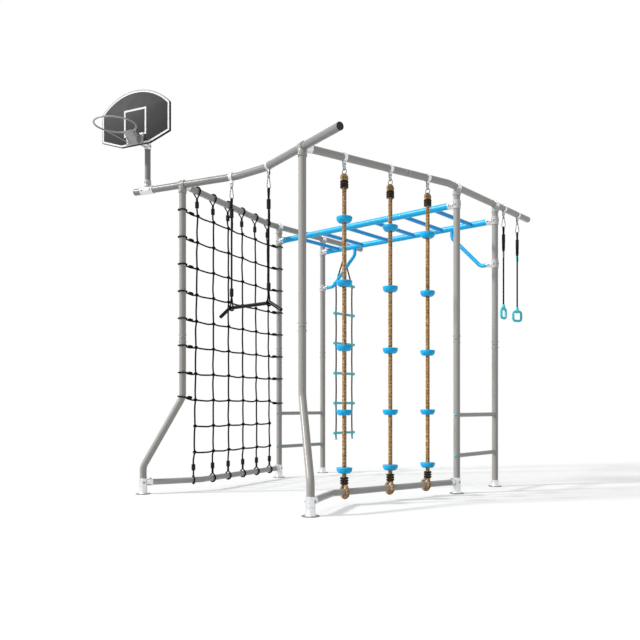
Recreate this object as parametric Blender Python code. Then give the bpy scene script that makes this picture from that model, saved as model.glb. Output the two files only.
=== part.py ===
# Monkey bars frame: a steel tube climbing frame with a net, disc ropes, a trapeze,
# hand rings, a rope ladder and a small basketball hoop.
# Metres, +Z up. The layout's X runs along the monkey bars, from the left post to the
# right one, and its Y runs to the back. Every piece is laid out from the foot of the
# left near post, and the whole frame is then centred over the origin.
import math

import bmesh
import bpy
from mathutils import Matrix, Vector

# Plan of the posts
BAY_LENGTH = 1.85
BAY_WIDTH = 0.60
FRONT_WIDTH = 1.20
SPLAY = math.radians(15)
BEND_BEFORE_POST = 0.12
CRANK_OUT = 0.232
CRANK_FORWARD = 0.179
CRANK_TOP = 0.713
CRANK_BOTTOM = 0.2025

# Beams
BEAM_HEIGHT = 2.275
FRONT_FLAT = 0.28
OVERHANG_BACK = 0.605
OVERHANG_FRONT_LEFT = 0.443
OVERHANG_FRONT_RIGHT = 0.415
CAP_LENGTH = 0.006

# Tubes: outer radii, and the wall
MAIN_TUBE = 0.025
BAR_TUBE = 0.022
SMALL_TUBE = 0.016
POLE_TUBE = 0.0215
WALL = 0.002
BEND_RADIUS = 0.11
BRACE_BEND_RADIUS = 0.06
MAIN_SIDES = 12
SMALL_SIDES = 8

# Monkey bars, braces and ladder steps
RAIL_HEIGHT = 2.145
RUNG_COUNT = 6
RUNG_PITCH = 0.285
STEP_HEIGHTS = {"lower": 0.280, "upper": 0.582}
BRACE_HEIGHT = 1.795
BRACE_LOW_BEND = 0.130
BRACE_REACH = 0.400

# Bottom bars
BAR_HEIGHT = 0.0863
BAR_BEND_IN = 0.168
BAR_BEND_BACK = 0.396

# Fittings
CLEARANCE = 0.0004
COPE_GAP = 0.0012
SLEEVE_WALL = 0.0042
POST_TOP = 2.240
TEE_BOTTOM = 2.213
TEE_HALF_LENGTH = 0.024
SOCKET_REACH = 0.068
TUBE_IN_SOCKET = 0.034
SOCKET_BACK = 0.0335
CLAMP_HEIGHT = 0.066
FOOT_RADIUS = 0.056
FOOT_THICKNESS = 0.005
FOOT_FLOOR = 0.012
FOOT_TOP = 0.052
BAR_CLAMP_TOP = 0.117

# Hangers: a strap round the beam, a lug and an eye
HINGE_HEIGHT = 2.193
STRAP_WIDTH = 0.026
STRAP_RADIUS = 0.0285
LUG_WIDTH = 0.024
LUG_THICKNESS = 0.013
LUG_BOTTOM = 2.2125
EYE_RADIUS = 0.010
EYE_WIRE = 0.0035
LINK_WIRE = 0.003
LINK_TOP_RADIUS = 0.0072
LINK_BOTTOM_RADIUS = 0.0165
ROPE_PLACES = (0.324, 0.711, 1.054)
TRAPEZE_HALF = 0.187
RING_PLACES = {"left": 0.149, "right": 0.400}
RING_TURNS = {"left": 0.0, "right": math.radians(-30)}
LADDER_PLACE = 0.327

# Climbing net
NET_CORD = 0.006
NET_KNOT = (0.017, 0.011, 0.019)
NET_LOOP_CORD = 0.0075
NET_TOP_ROW = 2.090
NET_ROW_PITCH = 0.1992
NET_ROWS = 10
NET_TIED_ROWS = 8
NET_COLUMNS = 6
NET_FIRST_COLUMN = 0.166
NET_LAST_COLUMN = 1.200
NET_LAST_TIE_LIFT = {"left_near": -0.021, "left_front": 0.021}
NET_LOOP_STEPS = 5
NET_TIE_STEPS = 6
NET_TAIL_END = 0.031
FERRULE_LENGTH = 0.048
FERRULE_REACH = 0.0105
NECK_REACH = 0.0085
TOP_FERRULE = 2.172
TOP_APEX = 2.216
BOTTOM_FERRULE = 0.183
BOTTOM_APEX = 0.126

# Disc ropes
ROPE_RADIUS = 0.014
ROPE_EYE_TOP = 2.171
WHIPPING_TOP = (2.073, 2.120)
WHIPPING_BOTTOM = (0.137, 0.184)
WHIPPING_RADIUS = 0.0215
DISC_HEIGHTS = (1.867, 1.450, 1.028, 0.606, 0.228)
DISC_RADIUS = 0.0525
DISC_THICKNESS = 0.038

# Trapeze
TRAPEZE_HEIGHT = 1.346
TRAPEZE_BEND = 0.205
TRAPEZE_END = 0.306
TRAPEZE_DROP = 0.056
TRAPEZE_TUBE = 0.0125
SWING_CORD = 0.006
SWING_FERRULE = 0.0115
LINK_LENGTH = 0.073

# Hand rings
RING_GRIP_TOP = 1.462
RING_GRIP_BOTTOM = 1.362
RING_GRIP_WIDTH = 0.100
RING_GRIP_TUBE = 0.0105
RING_HUB_TOP = 1.486
RING_CORD = 0.005
RING_SPLICE_BOTTOM = 1.926
RING_ADJUSTER_BOTTOM = 1.866

# Rope ladder
LADDER_APEX = 2.146
LADDER_TOP_RUNG = 1.870
LADDER_RUNGS = 6
LADDER_PITCH = 0.298
LADDER_HALF = 0.127
LADDER_RUNG_HALF = 0.165
LADDER_RUNG_RADIUS = 0.0145
LADDER_CORD = 0.0045
LADDER_END = 0.324

# Basketball hoop, in the board's own directions: along it, out of its face, and up
POLE_PLACE = 0.323
POLE_TOP = 2.632
POLE_CLAMP_HALF = 0.058
BOARD_FACE = 0.140
BOARD_DEPTH = 0.018
BOARD_HALF = 0.315
BOARD_FOOT_HALF = 0.132
BOARD_BOTTOM = 2.570
BOARD_SIDE_BOTTOM = 2.630
BOARD_SIDE_TOP = 2.840
BOARD_TOP = 2.972
BOARD_SKIN = 0.004
ARM_HEIGHT = 2.605
HOOP_HEIGHT = 2.648
HOOP_REACH = 0.346
HOOP_RADIUS = 0.147
HOOP_WIRE = 0.006
BRACKET_HALF = 0.030
BRACKET_FLANGE = 0.058
BRACKET_DEPTHS = (0.015, 0.050)
BRACKET_HEIGHTS = (2.576, 2.652)
SHEET = 0.003

UP = Vector((0, 0, 1))
ALONG = Vector((1, 0, 0))
BACK = Vector((0, 1, 0))

# Colour, metallic and roughness of each finish
FINISHES = {
    "powder_grey": ((0.52, 0.51, 0.49), 0.35, 0.38),
    "galvanised": ((0.78, 0.78, 0.79), 0.85, 0.30),
    "blue_paint": ((0.03, 0.42, 0.83), 0.0, 0.32),
    "black_cord": ((0.015, 0.015, 0.016), 0.0, 0.75),
    "hemp_rope": ((0.36, 0.24, 0.12), 0.0, 0.85),
    "black_paint": ((0.02, 0.02, 0.022), 0.1, 0.40),
    "turquoise": ((0.06, 0.52, 0.60), 0.0, 0.40),
    "board_grey": ((0.09, 0.09, 0.09), 0.0, 0.50),
    "steel_grey": ((0.22, 0.22, 0.22), 0.6, 0.42),
}


def clear_scene():
    for obj in list(bpy.data.objects):
        bpy.data.objects.remove(obj, do_unlink=True)


def finish(name):
    material = bpy.data.materials.get(name)
    if material is None:
        colour, metallic, roughness = FINISHES[name]
        material = bpy.data.materials.new(name)
        material.use_nodes = True
        shader = material.node_tree.nodes["Principled BSDF"]
        shader.inputs["Base Color"].default_value = (*colour, 1)
        shader.inputs["Metallic"].default_value = metallic
        shader.inputs["Roughness"].default_value = roughness
    return material


def make_object(name, mesh, origin, finish_name=None):
    """Turns a bmesh laid out in place into an object whose origin is the given point."""
    bmesh.ops.recalc_face_normals(mesh, faces=mesh.faces)
    data = bpy.data.meshes.new(name)
    mesh.to_mesh(data)
    mesh.free()
    data.transform(Matrix.Translation(-origin))
    data.shade_smooth()
    data.set_sharp_from_angle(angle=math.radians(40))
    obj = bpy.data.objects.new(name, data)
    obj.location = origin
    bpy.context.scene.collection.objects.link(obj)
    if finish_name:
        data.materials.append(finish(finish_name))
    else:
        obj.hide_render = True
        obj.display_type = "WIRE"
    return obj


def combine(target, operation, helper):
    modifier = target.modifiers.new(f"{operation.title()} {helper.name}"[:60], "BOOLEAN")
    modifier.operation = operation
    modifier.solver = "EXACT"
    modifier.object = helper
    return target


def fuse(target, *helpers):
    for helper in helpers:
        combine(target, "UNION", helper)
    return target


def cut(target, *helpers):
    for helper in helpers:
        combine(target, "DIFFERENCE", helper)
    return target


# Plan points


def at(point, height):
    return Vector((point.x, point.y, height))


def plan():
    """Where each post, foot and bend stands, in the layout's X and Y."""
    middle = BAY_LENGTH / 2
    half_front = FRONT_WIDTH / 2
    front = -BEND_BEFORE_POST - (middle - half_front) / math.tan(SPLAY)
    flat_front = front + (half_front - FRONT_FLAT / 2) * math.tan(SPLAY)
    points = {
        "left_near": Vector((0, 0, 0)),
        "left_far": Vector((0, BAY_WIDTH, 0)),
        "right_near": Vector((BAY_LENGTH, 0, 0)),
        "right_far": Vector((BAY_LENGTH, BAY_WIDTH, 0)),
    }
    for side, sign in (("left", -1), ("right", 1)):
        post = Vector((middle + sign * half_front, front, 0))
        foot = post + Vector((sign * CRANK_OUT, -CRANK_FORWARD, 0))
        points[f"{side}_front"] = post
        points[f"{side}_foot"] = foot
        points[f"{side}_flat"] = Vector((middle + sign * FRONT_FLAT / 2, flat_front, 0))
        points[f"{side}_bar"] = foot + Vector((-sign * BAR_BEND_IN, BAR_BEND_BACK, 0))
    return points


PLAN = plan()
SIDES = {"left": -1, "right": 1}


def splayed(side):
    """Direction of a side beam from its front post, before it bends along the bay."""
    return Vector((SIDES[side] * math.sin(SPLAY), math.cos(SPLAY), 0))


def front_end(side):
    """Direction of the front beam's end run, away from the middle."""
    return Vector((SIDES[side] * math.cos(SPLAY), -math.sin(SPLAY), 0))


# Tubes


def rounded(route, radius, steps):
    """The route with an arc of this radius at each corner."""
    points = [route[0]]
    for before, corner, after in zip(route, route[1:], route[2:]):
        into = (corner - before).normalized()
        out = (after - corner).normalized()
        angle = into.angle(out)
        inwards = (out - into * out.dot(into)).normalized()
        start = corner - into * radius * math.tan(angle / 2)
        centre = start + inwards * radius
        for step in range(steps + 1):
            turn = angle * step / steps
            points.append(centre + radius * (into * math.sin(turn) - inwards * math.cos(turn)))
    points.append(route[-1])
    return points


def directions(route):
    """The way the route runs at each of its points."""
    runs = [(b - a).normalized() for a, b in zip(route, route[1:])]
    middle = [(a + b).normalized() for a, b in zip(runs, runs[1:])]
    return [runs[0], *middle, runs[-1]]


def ring_of(mesh, centre, direction, across, radius, sides, cope=None):
    """One ring of vertices round a tube. A cope moves each along the tube to a seat."""
    side = direction.cross(across).normalized()
    top = side.cross(direction).normalized()
    ring = []
    for index in range(sides):
        turn = 2 * math.pi * index / sides
        offset = radius * (math.cos(turn) * top + math.sin(turn) * side)
        point = centre + offset
        if cope:
            seat_axis, seat_radius, sign = cope
            off_axis = offset.dot(direction.cross(seat_axis).normalized())
            point += direction * sign * math.sqrt(seat_radius**2 - off_axis**2)
        ring.append(mesh.verts.new(point))
    return ring


def bridge(mesh, ring, other):
    count = len(ring)
    for index in range(count):
        after = (index + 1) % count
        mesh.faces.new((ring[index], ring[after], other[after], other[index]))


def tube_mesh(route, across, radius, wall=0.0, sides=MAIN_SIDES, copes=(None, None), caps=(False, False)):
    """A tube along a route: hollow where it has a wall, with a cap where asked."""
    mesh = bmesh.new()
    ways = directions(route)
    ends = {0: copes[0], len(route) - 1: copes[1]}
    outer = [
        ring_of(mesh, point, way, across, radius, sides, ends.get(index))
        for index, (point, way) in enumerate(zip(route, ways))
    ]
    for ring, other in zip(outer, outer[1:]):
        bridge(mesh, ring, other)
    if not wall:
        mesh.faces.new(outer[0])
        mesh.faces.new(outer[-1])
        return mesh
    bore = list(route)
    if caps[0]:
        bore[0] = bore[0] + ways[0] * CAP_LENGTH
    if caps[1]:
        bore[-1] = bore[-1] - ways[-1] * CAP_LENGTH
    inner = [
        ring_of(mesh, point, way, across, radius - wall, sides, ends.get(index))
        for index, (point, way) in enumerate(zip(bore, ways))
    ]
    for ring, other in zip(inner, inner[1:]):
        bridge(mesh, ring, other)
    for end, capped in ((0, caps[0]), (-1, caps[1])):
        if capped:
            mesh.faces.new(outer[end])
            mesh.faces.new(inner[end])
        else:
            bridge(mesh, outer[end], inner[end])
    return mesh


def tube(name, route, across, radius, finish_name, **options):
    mesh = tube_mesh(route, across, radius, **options)
    return make_object(name, mesh, route[0], finish_name)


def rod_helper(name, start, end, across, radius, sides=MAIN_SIDES):
    return tube(name, [start, end], across, radius, None, sides=sides)


def ring_helper(name, centre, direction, across, radius, wall, width, finish_name=None):
    """A short hollow sleeve centred on a point."""
    half = direction * width / 2
    return tube(name, [centre - half, centre + half], across, radius, finish_name, wall=wall)


def box_helper(name, centre, axes, sizes):
    """A block along three given directions."""
    mesh = bmesh.new()
    bmesh.ops.create_cube(mesh, size=1)
    turn = Matrix([axis.normalized() for axis in axes]).transposed().to_4x4()
    scale = Matrix.Diagonal((*sizes, 1))
    mesh.transform(Matrix.Translation(centre) @ turn @ scale)
    return make_object(name, mesh, centre)


def loop_mesh(mesh, points, normal, radius, sides):
    """A closed ring of wire through points that lie square to the given normal."""
    count = len(points)
    rings = []
    for index, point in enumerate(points):
        way = (points[(index + 1) % count] - points[index - 1]).normalized()
        rings.append(ring_of(mesh, point, way, normal, radius, sides))
    for index in range(count):
        bridge(mesh, rings[index], rings[(index + 1) % count])


def circle(centre, first, second, radius, steps, start=0.0):
    """Points round a circle in the plane of two square directions."""
    turns = (start + 2 * math.pi * step / steps for step in range(steps))
    return [centre + radius * (math.cos(turn) * first + math.sin(turn) * second) for turn in turns]


def clear_of(radius, steps):
    """Radius of a polygon's corners whose sides keep outside this radius."""
    return radius / math.cos(math.pi / steps)


def torus_helper(name, centre, first, second, radius, wire, steps=8, sides=5):
    """A ring of wire in the plane of two directions, with a corner at each end of the second."""
    mesh = bmesh.new()
    points = circle(centre, first, second, radius, steps, math.pi / 2)
    loop_mesh(mesh, points, first.cross(second), wire, sides)
    return make_object(name, mesh, centre)


def turned_mesh(centre, profile, sides):
    """A solid turned about an upright axis: the profile is (radius, height) downwards."""
    mesh = bmesh.new()
    rings = []
    for radius, height in profile:
        rings.append(ring_of(mesh, at(centre, height), -UP, ALONG, radius, sides))
    for ring, other in zip(rings, rings[1:]):
        bridge(mesh, ring, other)
    mesh.faces.new(rings[0])
    mesh.faces.new(rings[-1])
    return mesh


# Posts, beams and bars


def crank_across(side):
    """The level direction square to the plane in which a front post is cranked."""
    lean = PLAN[f"{side}_foot"] - PLAN[f"{side}_front"]
    return lean.cross(UP).normalized()


def post_across(name):
    return crank_across(name.split("_")[0]) if name.endswith("front") else ALONG


def post_route(name):
    """A post's centre line from its foot up: straight, or cranked out to its foot."""
    bottom, head = FOOT_FLOOR + CLEARANCE, PLAN[name]
    if not name.endswith("front"):
        return [at(head, bottom), at(head, POST_TOP)]
    foot = PLAN[name.replace("front", "foot")]
    corners = [at(foot, bottom), at(foot, CRANK_BOTTOM), at(head, CRANK_TOP), at(head, POST_TOP)]
    return rounded(corners, BEND_RADIUS, 2)


def on_post(name, height):
    """The point on a post's centre line at a height, with the way the post runs there."""
    route = post_route(name)
    low, high = next(pair for pair in zip(route, route[1:]) if pair[1].z >= height)
    return low.lerp(high, (height - low.z) / (high.z - low.z)), (high - low).normalized()


def make_posts():
    for side in SIDES:
        for place in ("near", "far", "front"):
            name = f"{side}_{place}"
            tube(f"post_{name}", post_route(name), post_across(name), MAIN_TUBE, "powder_grey", wall=WALL)


def hanger(beam, name, place, beam_way, wire_way):
    """A strap round the beam with a lug and an eye below. The eye's wire runs along wire_way."""
    centre = at(place, BEAM_HEIGHT)
    strap_wall = STRAP_RADIUS - (MAIN_TUBE - WALL / 2)
    strap = ring_helper(f"{name}_strap", centre, beam_way, UP, STRAP_RADIUS, strap_wall, STRAP_WIDTH)
    lug_top = BEAM_HEIGHT - MAIN_TUBE - 0.001
    lug_centre = at(place, (lug_top + LUG_BOTTOM) / 2)
    sizes = (LUG_WIDTH, LUG_THICKNESS, lug_top - LUG_BOTTOM)
    lug = box_helper(f"{name}_lug", lug_centre, (wire_way, UP.cross(wire_way), UP), sizes)
    eye_centre = at(place, HINGE_HEIGHT + EYE_RADIUS)
    eye = torus_helper(f"{name}_eye", eye_centre, wire_way, UP, EYE_RADIUS, EYE_WIRE, steps=6, sides=4)
    fuse(beam, strap, lug, eye)


def swing_points():
    """Where each hanger sits on its beam: name to (plan point, beam direction, wire direction)."""
    places = {}
    for side, sign in SIDES.items():
        bend = PLAN[f"{side}_flat"]
        run = front_end(side)
        from_bend = (TRAPEZE_HALF - FRONT_FLAT / 2) / math.cos(SPLAY)
        places[f"trapeze_{side}"] = (bend + run * from_bend, run, ALONG)
    for number, distance in enumerate(ROPE_PLACES, 1):
        run = splayed("right")
        places[f"rope_{number}"] = (PLAN["right_front"] + run * distance, run, run)
    for side, distance in RING_PLACES.items():
        places[f"ring_{side}"] = (PLAN["right_far"] + BACK * distance, BACK, BACK)
    places["ladder"] = (PLAN["left_far"] + BACK * LADDER_PLACE, BACK, BACK)
    return places


SWINGS = swing_points()


def make_beams():
    ends = {
        "left": PLAN["left_front"] + front_end("left") * OVERHANG_FRONT_LEFT,
        "right": PLAN["right_front"] + front_end("right") * OVERHANG_FRONT_RIGHT,
    }
    corners = [ends["left"], PLAN["left_flat"], PLAN["right_flat"], ends["right"]]
    route = rounded([at(corner, BEAM_HEIGHT) for corner in corners], BEND_RADIUS, 2)
    front = tube("beam_front", route, UP, MAIN_TUBE, "powder_grey", wall=WALL, caps=(False, True))
    beams = {"trapeze": front}
    for side in SIDES:
        near, far = PLAN[f"{side}_near"], PLAN[f"{side}_far"]
        corners = [
            PLAN[f"{side}_front"] + splayed(side) * (SOCKET_BACK + CLEARANCE),
            near - BACK * BEND_BEFORE_POST,
            far + BACK * OVERHANG_BACK,
        ]
        route = rounded([at(corner, BEAM_HEIGHT) for corner in corners], BEND_RADIUS, 2)
        beam = tube(f"beam_{side}", route, UP, MAIN_TUBE, "powder_grey", wall=WALL, caps=(False, True))
        beams[side] = beam
    beams.update(rope=beams["right"], ring=beams["right"], ladder=beams["left"])
    for name, (place, beam_way, wire_way) in SWINGS.items():
        hanger(beams[name.split("_")[0]], name, place, beam_way, wire_way)


def bar_way(side, end):
    """Direction of a bottom bar as it leaves the front foot, or as it leaves the near post."""
    bend = PLAN[f"{side}_bar"]
    start = PLAN[f"{side}_foot"] if end == "front" else PLAN[f"{side}_near"]
    return (bend - start).normalized()


def make_bottom_bars():
    for side, name in (("left", "net_bar"), ("right", "rope_bar")):
        foot, near = PLAN[f"{side}_foot"], PLAN[f"{side}_near"]
        corners = [
            foot + bar_way(side, "front") * TUBE_IN_SOCKET,
            PLAN[f"{side}_bar"],
            near + bar_way(side, "near") * TUBE_IN_SOCKET,
        ]
        route = rounded([at(corner, BAR_HEIGHT) for corner in corners], BEND_RADIUS, 2)
        tube(name, route, UP, BAR_TUBE, "powder_grey", wall=WALL)


# Monkey bars, braces and steps


def make_rails():
    middle = BAY_LENGTH / 2
    for row in ("near", "far"):
        left, right = PLAN[f"left_{row}"], PLAN[f"right_{row}"]
        spans = {
            "left": (left + ALONG * TUBE_IN_SOCKET, left + ALONG * (middle - CLEARANCE / 2)),
            "right": (right - ALONG * TUBE_IN_SOCKET, left + ALONG * (middle + CLEARANCE / 2)),
        }
        for side, span in spans.items():
            route = [at(point, RAIL_HEIGHT) for point in span]
            tube(f"rail_{row}_{side}", route, UP, MAIN_TUBE, "blue_paint", wall=WALL)


def coped(name, start, end, across, seat_axis, finish_name):
    """A straight small tube between two carrying tubes, its ends cut to seat on them."""
    seat = MAIN_TUBE + COPE_GAP
    copes = ((seat_axis, seat, 1), (seat_axis, seat, -1))
    options = {"wall": WALL, "sides": SMALL_SIDES, "copes": copes}
    return tube(name, [start, end], across, SMALL_TUBE, finish_name, **options)


def make_rungs():
    for number in range(RUNG_COUNT):
        along = BAY_LENGTH / 2 + (number - (RUNG_COUNT - 1) / 2) * RUNG_PITCH
        start = Vector((along, 0, RAIL_HEIGHT))
        coped(f"monkey_rung_{number + 1}", start, start + BACK * BAY_WIDTH, UP, ALONG, "blue_paint")


def make_steps():
    for side in SIDES:
        for level, height in STEP_HEIGHTS.items():
            start, end = at(PLAN[f"{side}_near"], height), at(PLAN[f"{side}_far"], height)
            coped(f"step_{side}_{level}", start, end, UP, UP, "powder_grey")


def make_braces():
    seat = MAIN_TUBE + COPE_GAP
    for side, sign in SIDES.items():
        post = PLAN[f"{side}_far"]
        inwards = -sign * ALONG
        corners = [
            at(post + inwards * TUBE_IN_SOCKET, BRACE_HEIGHT),
            at(post + inwards * BRACE_LOW_BEND, BRACE_HEIGHT),
            at(post + inwards * BRACE_REACH, BRACE_HEIGHT + BRACE_REACH - BRACE_LOW_BEND),
            at(post + inwards * BRACE_REACH, RAIL_HEIGHT),
        ]
        route = rounded(corners, BRACE_BEND_RADIUS, 2)
        copes = (None, (ALONG, seat, -1))
        options = {"wall": WALL, "sides": SMALL_SIDES, "copes": copes}
        tube(f"brace_{side}", route, BACK, SMALL_TUBE, "blue_paint", **options)


# Fittings on the posts


def sleeve_radius(radius=MAIN_TUBE):
    return radius + CLEARANCE + SLEEVE_WALL


def socket_pair(name, centre, way, radius, sides, start=0.0):
    """The body and the bore of a side socket that leaves a post's axis."""
    body = rod_helper(f"{name}_socket", centre + way * start, centre + way * SOCKET_REACH, UP, sleeve_radius(radius), sides)
    bore_end = centre + way * (SOCKET_REACH + 0.01)
    bore = rod_helper(f"{name}_socket_bore", centre + way * SOCKET_BACK, bore_end, UP, radius + CLEARANCE, sides)
    return body, bore


def make_tee(name, beam_way, socket_way=None):
    """The fitting that joins a post's top to the beam over it."""
    post = PLAN[name]
    across = post_across(name)
    tee = tube(
        f"tee_{name}",
        [at(post, TEE_BOTTOM), at(post, BEAM_HEIGHT - MAIN_TUBE / 2)],
        across,
        sleeve_radius(),
        "galvanised",
    )
    centre = at(post, BEAM_HEIGHT)
    half = beam_way * TEE_HALF_LENGTH
    saddle = rod_helper(f"{name}_saddle", centre - half, centre + half, UP, sleeve_radius() + 0.0006)
    fuse(tee, saddle)
    bores = [
        rod_helper(f"{name}_beam_bore", centre - 2 * half, centre + 2 * half, UP, MAIN_TUBE + CLEARANCE),
        rod_helper(
            f"{name}_post_bore",
            at(post, TEE_BOTTOM - 0.01),
            at(post, POST_TOP + CLEARANCE),
            across,
            MAIN_TUBE + CLEARANCE,
        ),
    ]
    if socket_way:
        body, bore = socket_pair(name, centre, socket_way, MAIN_TUBE, MAIN_SIDES, start=MAIN_TUBE / 2)
        fuse(tee, body)
        bores.append(bore)
    cut(tee, *bores)


def make_tees():
    for side in SIDES:
        make_tee(f"{side}_front", front_end(side), splayed(side))
        make_tee(f"{side}_near", BACK)
        make_tee(f"{side}_far", BACK)


def make_clamp(name, post_name, height, way, radius, sides):
    """A sleeve round a post with a side socket for a tube."""
    post = PLAN[post_name]
    centre = at(post, height)
    half = UP * CLAMP_HEIGHT / 2
    clamp = tube(name, [centre - half, centre + half], ALONG, sleeve_radius(), "galvanised")
    body, bore = socket_pair(name, centre, way, radius, sides, start=MAIN_TUBE / 2)
    post_bore = rod_helper(f"{name}_bore", centre - 2 * half, centre + 2 * half, ALONG, MAIN_TUBE + CLEARANCE)
    fuse(clamp, body)
    cut(clamp, post_bore, bore)


def make_clamps():
    for side, sign in SIDES.items():
        for row in ("near", "far"):
            post = f"{side}_{row}"
            make_clamp(f"rail_clamp_{post}", post, RAIL_HEIGHT, -sign * ALONG, MAIN_TUBE, MAIN_SIDES)
        make_clamp(f"brace_clamp_{side}", f"{side}_far", BRACE_HEIGHT, -sign * ALONG, SMALL_TUBE, SMALL_SIDES)


def make_foot(name, place, across, bar=None):
    """A round foot plate with a socket for the post, and above it a socket for a bar."""
    top = BAR_CLAMP_TOP if bar else FOOT_TOP
    profile = (
        (sleeve_radius(), top),
        (sleeve_radius(), FOOT_THICKNESS),
        (FOOT_RADIUS - 0.002, FOOT_THICKNESS),
        (FOOT_RADIUS, FOOT_THICKNESS - 0.002),
        (FOOT_RADIUS, 0.0),
    )
    mesh = bmesh.new()
    rings = [ring_of(mesh, at(place, height), UP, across, radius, MAIN_SIDES) for radius, height in profile]
    for ring, other in zip(rings, rings[1:]):
        bridge(mesh, ring, other)
    mesh.faces.new(rings[0])
    mesh.faces.new(rings[-1])
    foot = make_object(f"foot_{name}", mesh, place.copy(), "galvanised")
    bores = [rod_helper(f"{name}_foot_bore", at(place, FOOT_FLOOR), at(place, top + 0.01), across, MAIN_TUBE + CLEARANCE)]
    if bar:
        body, bore = socket_pair(f"{name}_foot", at(place, BAR_HEIGHT), bar, BAR_TUBE, MAIN_SIDES, start=MAIN_TUBE / 2)
        fuse(foot, body)
        bores.append(bore)
    cut(foot, *bores)


def make_feet():
    for side in SIDES:
        make_foot(f"{side}_front", PLAN[f"{side}_foot"], crank_across(side), bar_way(side, "front"))
        make_foot(f"{side}_near", PLAN[f"{side}_near"], ALONG, bar_way(side, "near"))
        make_foot(f"{side}_far", PLAN[f"{side}_far"], ALONG)


# Climbing net


def column_places():
    """Plan points of each net column under the beam and over the bottom bar."""
    near, front, bar = PLAN["left_near"], PLAN["left_front"], PLAN["left_bar"]
    bend = near - BACK * BEND_BEFORE_POST
    places = []
    for index in range(NET_COLUMNS):
        share = index / (NET_COLUMNS - 1)
        distance = NET_FIRST_COLUMN + share * (NET_LAST_COLUMN - NET_FIRST_COLUMN)
        top = bend + (front - bend).normalized() * (distance - BEND_BEFORE_POST)
        past_bend = distance - (bar - near).length
        if past_bend > 0:
            foot = PLAN["left_foot"]
            bottom = bar + (foot - bar).normalized() * past_bend
        else:
            bottom = near + (bar - near).normalized() * distance
        places.append((top, bottom))
    return places


def square_ring(mesh, centre, first, second, reach=NET_CORD):
    """A cord's section of four corners."""
    corners = ((-1, -1), (-1, 1), (1, 1), (1, -1))
    return [mesh.verts.new(centre + reach * (f * first + s * second)) for f, s in corners]


def knot(mesh, centre, along):
    """A knot that swells to the front and back, and the four open ends where cords leave it."""
    reach_along, bulge, reach_up = NET_KNOT
    deep = along.cross(UP)
    left = square_ring(mesh, centre - reach_along * along, deep, UP)
    right = square_ring(mesh, centre + reach_along * along, deep, UP)
    down = square_ring(mesh, centre - reach_up * UP, deep, along)
    up = square_ring(mesh, centre + reach_up * UP, deep, along)
    outlines = (
        (-1, (left[0], left[1], up[0], up[1], right[1], right[0], down[1], down[0])),
        (1, (left[3], left[2], up[3], up[2], right[2], right[3], down[2], down[3])),
    )
    for sign, outline in outlines:
        middle = mesh.verts.new(centre + sign * bulge * deep)
        for index, corner in enumerate(outline):
            mesh.faces.new((outline[index - 1], corner, middle))
    for first, second in ((left[1:3], (up[3], up[0])), (up[1:3], (right[2], right[1]))):
        mesh.faces.new((*first, *second))
    mesh.faces.new((right[0], right[3], down[2], down[1]))
    mesh.faces.new((down[0], down[3], left[3], left[0]))
    return {"left": left, "right": right, "down": down, "up": up}


def tail(mesh, loop, *sections):
    """A cord that leaves a knot, runs through the given sections and is closed at the last."""
    for ring, other in zip((loop, *sections), sections):
        bridge(mesh, ring, other)
    mesh.faces.new(sections[-1])


def crimped_tail(mesh, loop, place, along, ferrule, apex):
    """A cord that ends in a ferrule and in the doubled neck between the ferrule and its loop."""
    way = 1 if apex > ferrule else -1
    near, far = ferrule - way * FERRULE_LENGTH / 2, ferrule + way * FERRULE_LENGTH / 2
    deep = along.cross(UP)
    stations = ((near, NET_CORD), (near, FERRULE_REACH), (far, FERRULE_REACH), (far, NECK_REACH), (apex, NECK_REACH))
    tail(mesh, loop, *(square_ring(mesh, at(place, height), deep, along, reach) for height, reach in stations))


def teardrop(centre, side, radius, apex, steps):
    """Points of a loop that goes round a tube and closes at an apex above or below it."""
    way = 1 if apex > centre.z else -1
    reach = abs(apex - centre.z)
    opening = math.asin(radius / reach)
    points = [at(centre, apex)]
    sweep = math.pi + 2 * opening
    radius /= math.cos(sweep / steps / 2)
    for step in range(steps + 1):
        turn = -opening + sweep * step / steps
        points.append(centre + radius * (math.cos(turn) * side - way * math.sin(turn) * UP))
    return points


def tie_height(post, heights, row):
    """Height at which a row is tied round a post: the last tied row runs down to the near post."""
    lift = NET_LAST_TIE_LIFT[post] if row == NET_TIED_ROWS - 1 else 0.0
    return heights[row] + lift


def net_lattice(columns, heights):
    """The knots of the net with the cords between them, as one closed mesh with tails."""
    mesh = bmesh.new()
    along = (PLAN["left_front"] - PLAN["left_near"]).normalized()
    deep = along.cross(UP)
    ends, centres = {}, {}
    for row, height in enumerate(heights):
        share = (heights[0] - height) / (heights[0] - BAR_HEIGHT)
        for column, (top, bottom) in enumerate(columns):
            centres[row, column] = at(top.lerp(bottom, share), height)
            ends[row, column] = knot(mesh, centres[row, column], along)
    for row, column in ends:
        if (row, column + 1) in ends:
            bridge(mesh, ends[row, column]["right"], ends[row, column + 1]["left"])
        if (row + 1, column) in ends:
            bridge(mesh, ends[row, column]["down"], ends[row + 1, column]["up"])
    last = NET_COLUMNS - 1
    for row in range(NET_ROWS):
        for column, side, post in ((0, "left", "left_near"), (last, "right", "left_front")):
            if row >= NET_TIED_ROWS:
                mesh.faces.new(ends[row, column][side])
                continue
            axis = on_post(post, tie_height(post, heights, row))[0]
            outwards = (centres[row, column] - axis).normalized()
            tail(mesh, ends[row, column][side], square_ring(mesh, axis + outwards * NET_TAIL_END, deep, UP))
    for column, (top, bottom) in enumerate(columns):
        crimped_tail(mesh, ends[0, column]["up"], top, along, TOP_FERRULE, TOP_APEX)
        crimped_tail(mesh, ends[NET_ROWS - 1, column]["down"], bottom, along, BOTTOM_FERRULE, BOTTOM_APEX)
    return mesh


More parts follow.
